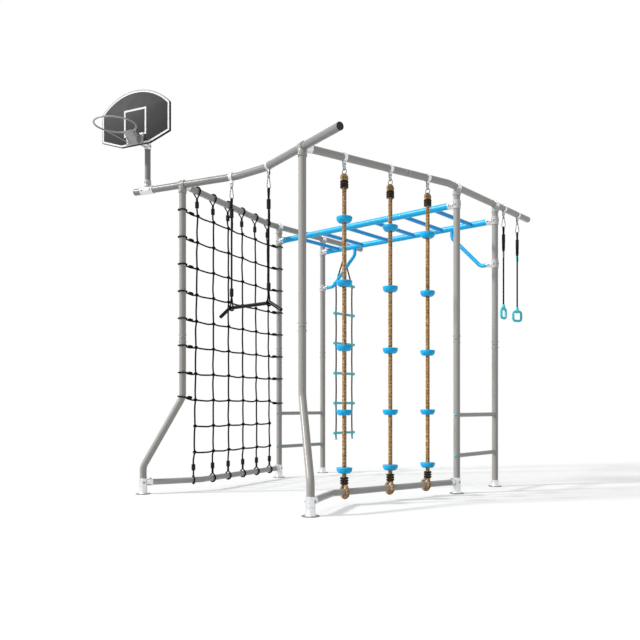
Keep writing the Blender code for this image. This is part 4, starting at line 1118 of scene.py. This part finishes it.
for index in range(net["columns"]):
    reach = net["first"] + index / (net["columns"] - 1) * (net["last"] - net["first"])
    top = bend + (front - bend).normalized() * (reach - plan["bendBeforePost"])
    past = reach - (bar - near).length
    low = bar + (foot - bar).normalized() * past if past > 0 else near + (bar - near).normalized() * reach
    columns.append((top, low))
heights = [net["top"] - net["pitch"] * row for row in range(net["rows"])]
netAlong = (front - near).normalized()
crossing = {}
for row, height in enumerate(heights):
    share = (heights[0] - height) / (heights[0] - plan["barHeight"])
    for column, (top, low) in enumerate(columns):
        crossing[row, column] = at(top.lerp(low, share), height) - netAlong * net["drift"]


def netKnot():
    # two turns of cord crossed over the crossing of the net, with a swelling under them
    parts = []
    for k in bothWays:
        normal = Vector((k * math.sin(net["knotLean"]), 0, math.cos(net["knotLean"])))
        parts.append(torusWire("turn", blackCord, origin, normal, *net["knotTurn"], 12, 7))
    clearSelection()
    bpy.ops.mesh.primitive_uv_sphere_add(segments=12, ring_count=8, radius=net["knotCore"])
    bpy.context.object.scale = (1.35, 0.95, 1.65)
    core = justAdded("core")
    edit(core)
    return joined("knot", [*parts, endEdit(core, blackCord, 60)])


def banded(name, centre, half, radius, core, count, marks):
    # a sleeve pressed in four bands; marks: chamfer, its height, band's start, band's end, groove and its end
    chamfer, lip, start, end, groove, out = (mark / 1000 for mark in marks)
    profile = [(core, -half), (radius - chamfer, lip - half)]
    for band in range(4):
        low, high = (-half + 0.002 + step * (2 * half - 0.004) / 4 for step in (band, band + 1))
        profile += [(radius, low + start), (radius, high - end), (radius - groove, high - out)]
    return turned(name, blackBand, centre, up, [*profile, (core, half)], count, angle=50)


def waved(start, end, sideways, size, phase, steps=8):
    # a span of slack cord: one shallow bow from knot to knot, a little deeper or flatter each time
    points = []
    for step in range(steps):
        share = step / steps
        bow = math.sin(math.pi * share) * (1 + 0.25 * math.sin(math.tau * share + phase))
        points.append(start.lerp(end, share) + sideways * size * bow)
    return points


def tiedTo(post, height, inner):
    # a row's end: a ring of cord round the post and a lashing on the row beside it
    centre, way = onPost(post, height)
    toward = inner - centre
    toward = (toward - way * toward.dot(way)).normalized()
    across = way.cross(toward)
    radius, cord = net["tie"]
    ring = arc(centre, radius, toward, across, 0, math.tau, 28)[:-1]
    parts = [strand("tie", blackCord, ring, cord, closed=True, detail=2)]
    knot = seat(centre + toward * (plan["tube"] + net["lashing"][post]), toward)
    radius, taper, cord = net["lashTurn"]
    for k in range(-2, 3):
        place, normal = knot @ Vector((0, 0, k * net["lashPitch"])), toward + across * 0.1 * k
        parts.append(torusWire("wrap", blackCord, place, normal, radius - taper * abs(k), cord, 14, 7))
    return centre + toward * (plan["tube"] + 0.004), parts


rowParts, columnParts, loopParts = [], [], []
(sag, deeper), (bow, wider) = net["sag"], net["bow"]
for row in range(net["rows"]):
    line = [crossing[row, column] for column in range(net["columns"])]
    if row < net["tied"]:
        ends = []
        for post, inner in (("left_near", line[0]), ("left_front", line[-1])):
            lift = net["lift"][post] if row == net["tied"] - 1 else 0.0
            end, parts = tiedTo(post, heights[row] + lift, inner)
            ends.append(end)
            loopParts += parts
        line = [ends[0], *line, ends[1]]
    points = []
    for index, (start, end) in enumerate(zip(line, line[1:])):
        size = sag + deeper * ((index + row) % 2)
        points += waved(start, end, -up, size, 0.4 + 0.9 * ((index + row) % 3))
    rowParts.append(strand("row", blackCord, [*points, line[-1]], net["cord"], detail=2))
for column, (top, low) in enumerate(columns):
    line = [crossing[row, column] for row in range(net["rows"])]
    line = [at(top, net["topFerrule"] - 0.02), *line, at(low, net["lowFerrule"] + 0.02)]
    points = []
    for index, (start, end) in enumerate(zip(line, line[1:])):
        size = bow + wider * math.sin(1.7 * index + 2.3 * column)
        points += waved(start, end, netAlong, size, 0.3 + 1.3 * ((index + 2 * column) % 3))
    columnParts.append(strand("column", blackCord, [*points, line[-1]], net["cord"], detail=2))


def teardrop(centre, side, radius, apex):
    way = 1 if apex > centre.z else -1
    opening = math.asin(radius / abs(apex - centre.z))
    return [at(centre, apex), *arc(centre, radius, side, -up * way, -opening, math.pi + 2 * opening, 22)]


knotMaster = netKnot()
ferruleMaster = banded("ferrule", origin, net["ferrule"], 0.0148, 0.0078, 16, (0.8, 1, 1, 1.4, 0.9, 0.4))
netAxes = (netAlong, netAlong.cross(up), up)
knots = [copyOf(knotMaster, "knot", axesAt(centre, *netAxes)) for centre in crossing.values()]
ferrules = []
for index, (top, low) in enumerate(columns):
    top, low = at(top, plan["beamHeight"]), at(low, plan["barHeight"])
    beamSide = splayed["left"].cross(up)
    barSide = barWay("left", "near" if index < net["columns"] - 1 else "front").cross(up)
    for centre, sideways, tube, apex, ferrule in (
        (top, beamSide, plan["tube"], net["topApex"], net["topFerrule"]),
        (low, barSide, plan["barTube"], net["lowApex"], net["lowFerrule"]),
    ):
        radius, way = net["loopCord"], 1 if apex > ferrule else -1
        points = teardrop(centre, sideways, tube + radius + 0.0008, apex)
        loopParts.append(strand("loop", blackCord, points, radius, closed=True, detail=2))
        for k in bothWays:
            line = centre + sideways * k * net["neck"]
            neck = [at(line, ferrule + way * 0.02), at(line, apex + way * 0.004)]
            loopParts.append(strand("neck", blackCord, neck, net["neckCord"], detail=2))
        ferrules += copyAt(ferruleMaster, "ferrule", at(centre, ferrule))
discard(knotMaster, ferruleMaster)
kinds = ("rows", "columns", "knots", "loops", "ferrules")
for name, parts in zip(kinds, (rowParts, columnParts, knots, loopParts, ferrules)):
    fitted("net_" + name, parts, "frame", "net_cord", "climbing_net")
print("climbing net made")


# Trapeze, rings and rope ladder

link = {"top": 0.0072, "low": 0.0165, "wire": 0.003}
link["gate"] = mm((3, 0), (4.1, 0.6), (4.1, 6), (3.6, 6.6), (3.6, 18), (4.1, 18.6), (4.1, 21.5), (3, 22.2))


def snapLink(name, place, wireWay):
    # pear-shaped link with a screw gate on one side
    across = wireWay.cross(up)
    points = arc(at(place, plan["hingeHeight"]), link["top"], across, up, 0, math.pi, 8)
    points += arc(at(place, linkBottom + link["low"]), link["low"], across, up, math.pi, math.pi, 10)
    wire = strand(name, linkSteel, points, link["wire"], closed=True)
    start, end = points[-1], points[0]
    collar = turned("gate", linkSteel, start.lerp(end, 0.25), end - start, link["gate"], 14, angle=30)
    return joined(name, [wire, collar])


def crimp(place, height, half, radius):
    marks = (0.8, 1.2, 1.4, 2.2, 1.1, 0.6)
    return banded("crimp", at(place, height), half, radius, radius - 0.003, 20, marks)


def cordEye(name, place, across, low, top, reach, radius):
    # the cord turned back through the link, with both legs meeting above the crimp
    legs = ((0.35, low), (0.75, (low + top) / 2))
    rise = [at(place - across * reach * share, height) for share, height in legs]
    fall = [at(place + across * reach * share, height) for share, height in reversed(legs)]
    turn = arc(at(place, top - reach - radius), reach, -across, up, 0, math.pi, 10)
    return strand(name, blackCord, rise + turn + fall, radius)


trapeze = {
    "height": 1.346,
    "corners": ((-0.306, 0.056), (-0.205, 0), (0.205, 0), (0.306, 0.056)),
    "bend": 0.03,
    "tube": 0.0125,
    "eye": (2.048, linkBottom + 0.0075, 0.0075, 0.0052),
    "crimps": ((2.016, 0.033, 0.0142), (1.4545, 0.0285, 0.0136)),
    "tail": ((0.0052, 1.988), (0.0078, 1.938), (0.0062, 1.886)),
    "tailCord": 0.0058,
    "bow": (1.432, 1.4315),
    "bowCord": 0.0056,
    "bowAngles": (math.radians(-58), math.radians(296)),
}
centre = (spot["trapeze_left"] + spot["trapeze_right"]) / 2
corners = [at(centre + along * reach, trapeze["height"] - drop) for reach, drop in trapeze["corners"]]
bar = pipe("trapeze_tube", blackPaint, corners, trapeze["tube"], trapeze["bend"], 28)
mount(bar, "trapeze", "trapeze_bar", "trapeze_bar")
for side in sides:
    place, node = spot["trapeze_" + side], f"trapeze_rope_{side}"
    mount(snapLink(f"trapeze_link_{side}", place, along), "trapeze", "black_rope", node)
    parts = [cordEye("eye", place, along, *trapeze["eye"])]
    parts += [crimp(place, *values) for values in trapeze["crimps"]]
    # the spare end of the cord, laid along it below the upper crimp
    tail = [at(place + along * aside, height) for aside, height in trapeze["tail"]]
    parts.append(strand("tail", blackCord, tail, trapeze["tailCord"]))
    start, end = (at(place, height) for height in trapeze["bow"])
    radius = trapeze["tube"] + swings["cord"] + 0.0008
    turn = arc(at(place, trapeze["height"]), radius, back, -up, *trapeze["bowAngles"], 18)
    bow = [start, *turn, end]
    parts.append(strand("bow", blackCord, bow, trapeze["bowCord"]))
    fitted(f"trapeze_ends_{side}", parts, "trapeze", "black_rope", node)

grip = {
    "middle": 1.412,
    "halfHeight": 0.0395,
    "halfWidth": 0.0395,
    "corner": 0.022,
    "tube": 0.0105,
    "hub": mm((11.2, 1437.5), (13.6, 1440), (14.5, 1450), (14.5, 1464), (13, 1479), (10, 1485), (8, 1486)),
    "eye": (2.060, linkBottom + 0.0090, 0.0084, 0.0062),
    "crimp": (2.030, 0.034, 0.0138),
    "splice": mm((7, 1922), (11.2, 1930), (12.8, 1956), (12, 1972), (13.2, 1984), (13, 1996)),
    "adjuster": (1.910, 1.896, 1.882),
    "adjusterLoop": (0.0092, 0.0036),
    "spine": mm((4.6, 1868), (5.6, 1872), (5.6, 1920), (4.6, 1924)),
}
for side in sides:
    place, body, node = spot["ring_" + side], "ring_" + side, f"ring_cord_{side}"
    level = Matrix.Rotation(swings["ringTurns"][side], 3, "Z") @ back
    points = []
    for quarter, (sideways, upwards) in enumerate(((1, 1), (-1, 1), (-1, -1), (1, -1))):
        middle = at(place, grip["middle"] + upwards * (grip["halfHeight"] - grip["corner"]))
        middle += level * sideways * (grip["halfWidth"] - grip["corner"])
        points += arc(middle, grip["corner"], level, up, math.pi / 2 * quarter, math.pi / 2, 8)
    handle = strand("handle", turquoise, points, grip["tube"], closed=True, detail=5)
    hub = turned("hub", turquoise, place, up, grip["hub"], 28, angle=50)
    fitted(f"grip_{side}", [handle, hub], body, "ring_grips", f"ring_grip_{side}")
    mount(snapLink(f"ring_link_{side}", place, back), body, "black_rope", node)
    splice = turned("splice", blackCord, place, up, grip["splice"], 20, angle=50)
    parts = [cordEye("eye", place, back, *grip["eye"]), crimp(place, *grip["crimp"]), splice]
    fitted(f"ring_splice_{side}", parts, body, "black_rope", node)
    # the adjuster: a moulded figure of eight that the cord's tail is threaded through
    normal = level.cross(up) * 0.9 + up * 0.25
    parts = [turned("spine", turquoise, place, up, grip["spine"], 16)]
    for height in grip["adjuster"]:
        parts.append(torusWire("loop", turquoise, at(place, height), normal, *grip["adjusterLoop"], 20, 8))
    fitted(f"adjuster_{side}", parts, body, "black_rope", node)

ladder["rung"] = mm(
    (5, -165), (9.6, -164.2), (13, -161.2), (14.5, -156.5), (14.5, -150), (13.6, -146), (13.2, -140),
    (14, -134.5), (14, -119.5), (13.2, -115),
)
ladder["knob"] = mm((5, -11.8), (10, -9.5), (12.4, -4), (12.4, 4), (9.8, 9.5), (5.8, 13.5))
place = spot["ladder"]
lines = [place + back * k * ladder["lines"] for k in bothWays]
profile = ladder["rung"] + [(radius, -reach) for radius, reach in reversed(ladder["rung"])]
rungMaster = turned("ladder_rung", turquoise, origin, back, profile, 24, angle=50)
heights = [ladder["top"] - ladder["pitch"] * index for index in range(ladder["rungs"])]
rungs = copyAt(rungMaster, "ladder_rung", *(at(place, height) for height in heights))
discard(rungMaster)
knots = []
for height in heights:
    for line in lines:
        under, over = at(line, height - ladder["knotUnder"]), at(line, height + ladder["collarOver"])
        knots.append(torusWire("knot", blackCord, under, up + along * 0.3, *ladder["knotTurn"], 12, 7))
        knots.append(torusWire("collar", blackCord, over, up, *ladder["collarTurn"], 12, 6))
for height, lean in ladder["topKnots"]:
    centre, way = at(place, height), up + back * lean
    knots.append(torusWire("knot", blackCord, centre, way, *ladder["topTurn"], 16, 8))
knobs = []
for line in lines:
    knobs.append(turned("knob", turquoise, at(line, ladder["end"]), up, ladder["knob"], 20, angle=60))
for name, parts in (("ladder_rungs", rungs), ("ladder_knobs", knobs), ("ladder_knots", knots)):
    fitted(name, parts, "rope_ladder", "rope_ladder", "rope_ladder")
mount(hungRing("ladder_ring", place, back, ladder["ring"]), "rope_ladder", "rope_ladder", "rope_ladder")
print("trapeze, rings and ladder made")


# Basketball hoop

hoop = {
    "place": 0.323,
    "face": 0.140,
    "depth": 0.018,
    "half": 0.315,
    "footHalf": 0.132,
    "bottom": 2.570,
    "sideLow": 2.630,
    "sideTop": 2.840,
    "top": 2.972,
    "poleLow": 2.290,
    "poleTop": 2.632,
    "pole": 0.0215,
    "arm": 2.605,
    "ringHeight": 2.648,
    "reach": 0.346,
    "radius": 0.146,
    "wire": 0.006,
}
boardRun = -frontRun["left"]
boardOut = boardRun.cross(up)
boardAxes = (boardRun, up, boardOut)
pole = spot["left_front"] + frontRun["left"] * hoop["place"]
boardTurn = axesAt(pole, *boardAxes)


def onBoard(sideways, out, height):
    return boardTurn @ Vector((sideways, height, out))


def boardOutline(steps=28):
    rise = hoop["top"] - hoop["sideTop"]
    radius = (hoop["half"] ** 2 + rise**2) / (2 * rise)
    sweep = math.asin(hoop["half"] / radius)
    curve = arc(Vector((0, hoop["top"] - radius, 0)), radius, back, along, sweep, -2 * sweep, steps)
    low = [(hoop["footHalf"], hoop["bottom"]), (hoop["half"], hoop["sideLow"])]
    return low + [(point.x, point.y) for point in curve] + [(-x, y) for x, y in reversed(low)]


def drawnIn(outline, distance):
    # the outline moved inwards by a distance, each side kept parallel
    result = []
    count = len(outline)
    for index in range(count):
        a, b, c = (Vector(outline[(index + k) % count]) for k in (-1, 0, 1))
        first, second = (Vector((-side.y, side.x)) for side in ((b - a).normalized(), (c - b).normalized()))
        normal = (first + second).normalized()
        result.append(tuple(b + normal * distance / max(0.3, normal.dot(first))))
    return result


def boardPlate(name, paint, borders, thickness, depth, bevel=0.0):
    # a plate between outlines drawn in by the given distances, its middle at a depth behind the face
    outlines = [drawnIn(outline, distance) if distance else outline for distance in borders]
    matrix = boardTurn @ Matrix.Translation((0, 0, face - depth))
    return flatShape(name, paint, outlines, thickness, matrix, bevel)


outline = boardOutline()
face, thick = hoop["face"], hoop["depth"] - 0.001
boardParts = [
    boardPlate("skin", boardFace, [0.0032], 0.0036, 0.0022, 0.0004),
    boardPlate("rim", boardEdge, [0, 0.004], thick, 0.001 + thick / 2, 0.0008),
    boardPlate("edge", boardRim, [0.0004, 0.0046], 0.0016, 0.0008, 0.0005),
]
ribs = {
    "upright": (-0.19, -0.075, 0.075, 0.19),
    "low": 2.576,
    "lowSlope": 0.33,
    "high": 2.945,
    "highSlope": 0.42,
    "level": (2.66, 2.80),
    "length": 0.615,
    "thick": 0.0035,
    "depths": (0.0132, 0.0126),
    "behind": (0.0105, 0.0102),
}
for sideways in ribs["upright"]:
    low = ribs["low"] + max(0, abs(sideways) - hoop["footHalf"]) * ribs["lowSlope"]
    high = ribs["high"] - abs(sideways) * ribs["highSlope"]
    centre, sizes = onBoard(sideways, face - ribs["behind"][0], (low + high) / 2), (ribs["thick"], high - low)
    boardParts.append(block("rib", boardEdge, centre, boardAxes, (*sizes, ribs["depths"][0])))
for height in ribs["level"]:
    centre, sizes = onBoard(0, face - ribs["behind"][1], height), (ribs["length"], ribs["thick"])
    boardParts.append(block("rib", boardEdge, centre, boardAxes, (*sizes, ribs["depths"][1])))
fitted("board", boardParts, "frame", "backboard", "backboard")
# the painted frame behind the ring: open below, with a short foot turned in at each side
half, line, foot, tip, low, high = 0.0895, 0.0135, 0.022, 0.006, 2.646, 2.838
rightSide = [(half, high - line), (half, low + tip), (half - foot, low + tip), (half - foot, low - tip)]
rightSide += [(half + line, low - tip), (half + line, high)]
mark = rightSide + [(-x, y) for x, y in reversed(rightSide)]
matrix = boardTurn @ Matrix.Translation((0, 0, face - 0.0002))
target = flatShape("target", lineWhite, [mark], 0.0008, matrix)
border = boardPlate("border", lineWhite, [0.0044, 0.0170], 0.0008, 0.0002)
fitted("board_lines", [border, target], "frame", "backboard", "backboard")

fixings = {
    "saddle": mm((25.4, -58), (28.8, -58), (29.6, -56.8), (29.6, 56.8), (28.8, 58), (25.4, 58)),
    "collar": mm((21.8, 2296), (29, 2299), (26.2, 2306), (25.8, 2344), (25, 2350.5), (21.8, 2351)),
    "elbow": mm((21.8, 2582), (25, 2580), (26, 2581.5), (26, 2629), (25, 2630), (21.8, 2630)),
    "arm": mm((18, 18), (18, 122), (19.5, 123.5), (19.5, 130), (18.2, 131.2)),
    "pad": (0.110, 0.050, 0.0052),
    "padOut": 0.1322,
    "collarBolt": 2.330,
    "boltOut": 0.0257,
    "saddleBolt": (0.040, 0.0294),
}
beamHere = at(pole, plan["beamHeight"])
parts = [
    pipe("pole_tube", polePaint, [at(pole, hoop["poleLow"]), at(pole, hoop["poleTop"])], hoop["pole"]),
    turned("saddle", zinc, beamHere, boardRun, fixings["saddle"], closed=True),
    turned("collar", fittingPaint, pole, up, fixings["collar"], closed=True),
    turned("elbow", zinc, pole, up, fixings["elbow"], closed=True),
    turned("arm", zinc, at(pole, hoop["arm"]), boardOut, fixings["arm"], 28),
    block("pad", zinc, onBoard(0, fixings["padOut"], hoop["arm"]), boardAxes, fixings["pad"], 0.0014),
]
spots = opposite(at(pole, fixings["collarBolt"]), boardOut, fixings["boltOut"])
spots += opposite(at(pole, hoop["arm"]), boardRun, fixings["boltOut"])
aside, reach = fixings["saddleBolt"]
for k in bothWays:
    spots += opposite(onBoard(k * aside, 0, plan["beamHeight"]), boardOut, reach)
fitted("pole", parts + bolts(hexBolt, spots), "frame", "hoop", "hoop_pole")

ringCentre = onBoard(0, hoop["reach"], hoop["ringHeight"])
parts = [torusWire("hoop_ring", hoopPaint, ringCentre, up, hoop["radius"], hoop["wire"], 72, 14)]
bracket = {
    "half": 0.041,
    "flange": 0.078,
    "low": 2.572,
    "tall": 0.080,
    "shallow": 0.010,
    "deep": 0.078,
    "gap": 0.0004,
    "sheet": 0.003,
    "topPlate": 0.059,
    "stay": 0.003,
    "stayFrom": (0.027, 0.016, 0.006),
    "stayTurn": math.radians(20),
    "boltAside": 0.066,
    "boltHeights": (2.586, 2.638),
}
middle, front = bracket["low"] + bracket["tall"] / 2, face + bracket["gap"]
centre = onBoard(0, front + bracket["deep"] / 2, middle)
sizes = (2 * bracket["half"], bracket["tall"], bracket["deep"])
channel = block("channel", hoopPaint, centre, boardAxes, sizes, 0.0016)
# the channel's lower outer edge drawn back to the board, which gives the sloping front
edit(channel, "VERT")
lowEdge = bracket["low"] + 0.004
pick(channel, lambda v: v.co.z < lowEdge and (v.co - onBoard(0, face, v.co.z)).dot(boardOut) > 0.04)
bpy.ops.transform.translate(value=-boardOut * (bracket["deep"] - bracket["shallow"]))
parts.append(endEdit(channel, hoopPaint))
angle, (aside, out, above) = bracket["stayTurn"], bracket["stayFrom"]
for k in bothWays:
    centre = onBoard(k * (bracket["half"] + bracket["flange"]) / 2, front + bracket["sheet"] / 2, middle)
    sizes = (bracket["flange"] - bracket["half"] + 0.002, bracket["tall"], bracket["sheet"])
    parts.append(block("flange", hoopPaint, centre, boardAxes, sizes, 0.0009))
    onRing = ringCentre + hoop["radius"] * (k * math.cos(angle) * boardRun - math.sin(angle) * boardOut)
    stay = [onBoard(k * aside, face + out, bracket["low"] + above), onRing - up * 0.002]
    parts.append(strand("stay", hoopPaint, stay, bracket["stay"], detail=2))
plateReach = hoop["reach"] - hoop["radius"]
centre = onBoard(0, (face + 0.004 + plateReach) / 2, hoop["ringHeight"] + 0.001)
sizes = (bracket["topPlate"], bracket["sheet"], plateReach - face - 0.002)
parts.append(block("top_plate", hoopPaint, centre, boardAxes, sizes))
spots = []
for k in bothWays:
    for height in bracket["boltHeights"]:
        spots.append((onBoard(k * bracket["boltAside"], face + 0.0036, height), boardOut))
fitted("hoop_ring_and_bracket", parts + bolts(domeBolt, spots), "frame", "hoop", "hoop")
discard(hexBolt, domeBolt, capBolt, endCap)
print("hoop made")


# Floor, world and lamps


def studioGraph(tree):
    # an emptied tree, and a value that is 1 for a ray seen straight, mirrored or through glass
    tree.nodes.clear()
    graph = Graph(tree)
    rays = [graph.node("LightPath", output=f"Is {kind} Ray") for kind in ("Camera", "Glossy", "Transmission")]
    return graph, rays[0] + rays[1] + rays[2]


studio = {"floor": 0.76, "floorGlow": 0.36, "world": 0.24, "worldSeen": 0.76}
white = (1, 1, 1, 1)
clearSelection()
bpy.ops.mesh.primitive_plane_add(size=60, location=(0, 6, 0))
floor = bpy.context.object
floor.name = "floor"
floorTone = bpy.data.materials.new("floor_white")
floorTone.use_nodes = True
graph, seen = studioGraph(floorTone.node_tree)
glow = graph.node("Emission", None, {"Color": white, "Strength": seen * studio["floorGlow"]})
matt = graph.node("BsdfDiffuse", None, {"Color": (*[studio["floor"]] * 3, 1)})
graph.node("OutputMaterial", None, {"Surface": graph.node("AddShader", None, {0: glow, 1: matt})})
coat(floor, floorTone)

world = bpy.data.worlds.new("studio")
bpy.context.scene.world = world
world.use_nodes = True
graph, seen = studioGraph(world.node_tree)
strength = graph.maths("MINIMUM", seen, 1.0) * studio["worldSeen"] + studio["world"]
light = graph.node("Background", None, {"Color": white, "Strength": strength})
graph.node("OutputWorld", None, {"Surface": light})

lamps = {
    "key": {"way": (0.49, 0.69, -0.53), "strength": 2.7, "size": 6},
    "fill": {"way": (-0.1, 0.9, -0.30), "strength": 0.2, "size": 50},
    "top": {"way": (0.05, 0.3, -1.0), "strength": 0.45, "size": 40},
}
for name, values in lamps.items():
    lamp = bpy.data.lights.new(name, "SUN")
    lamp.energy, lamp.angle = values["strength"], math.radians(values["size"])
    holder = bpy.data.objects.new(name, lamp)
    holder.rotation_euler = facing(-Vector(values["way"])).to_euler()
    bpy.context.scene.collection.objects.link(holder)
bpy.context.scene.view_settings.view_transform = "Standard"
print("floor and lamps set")
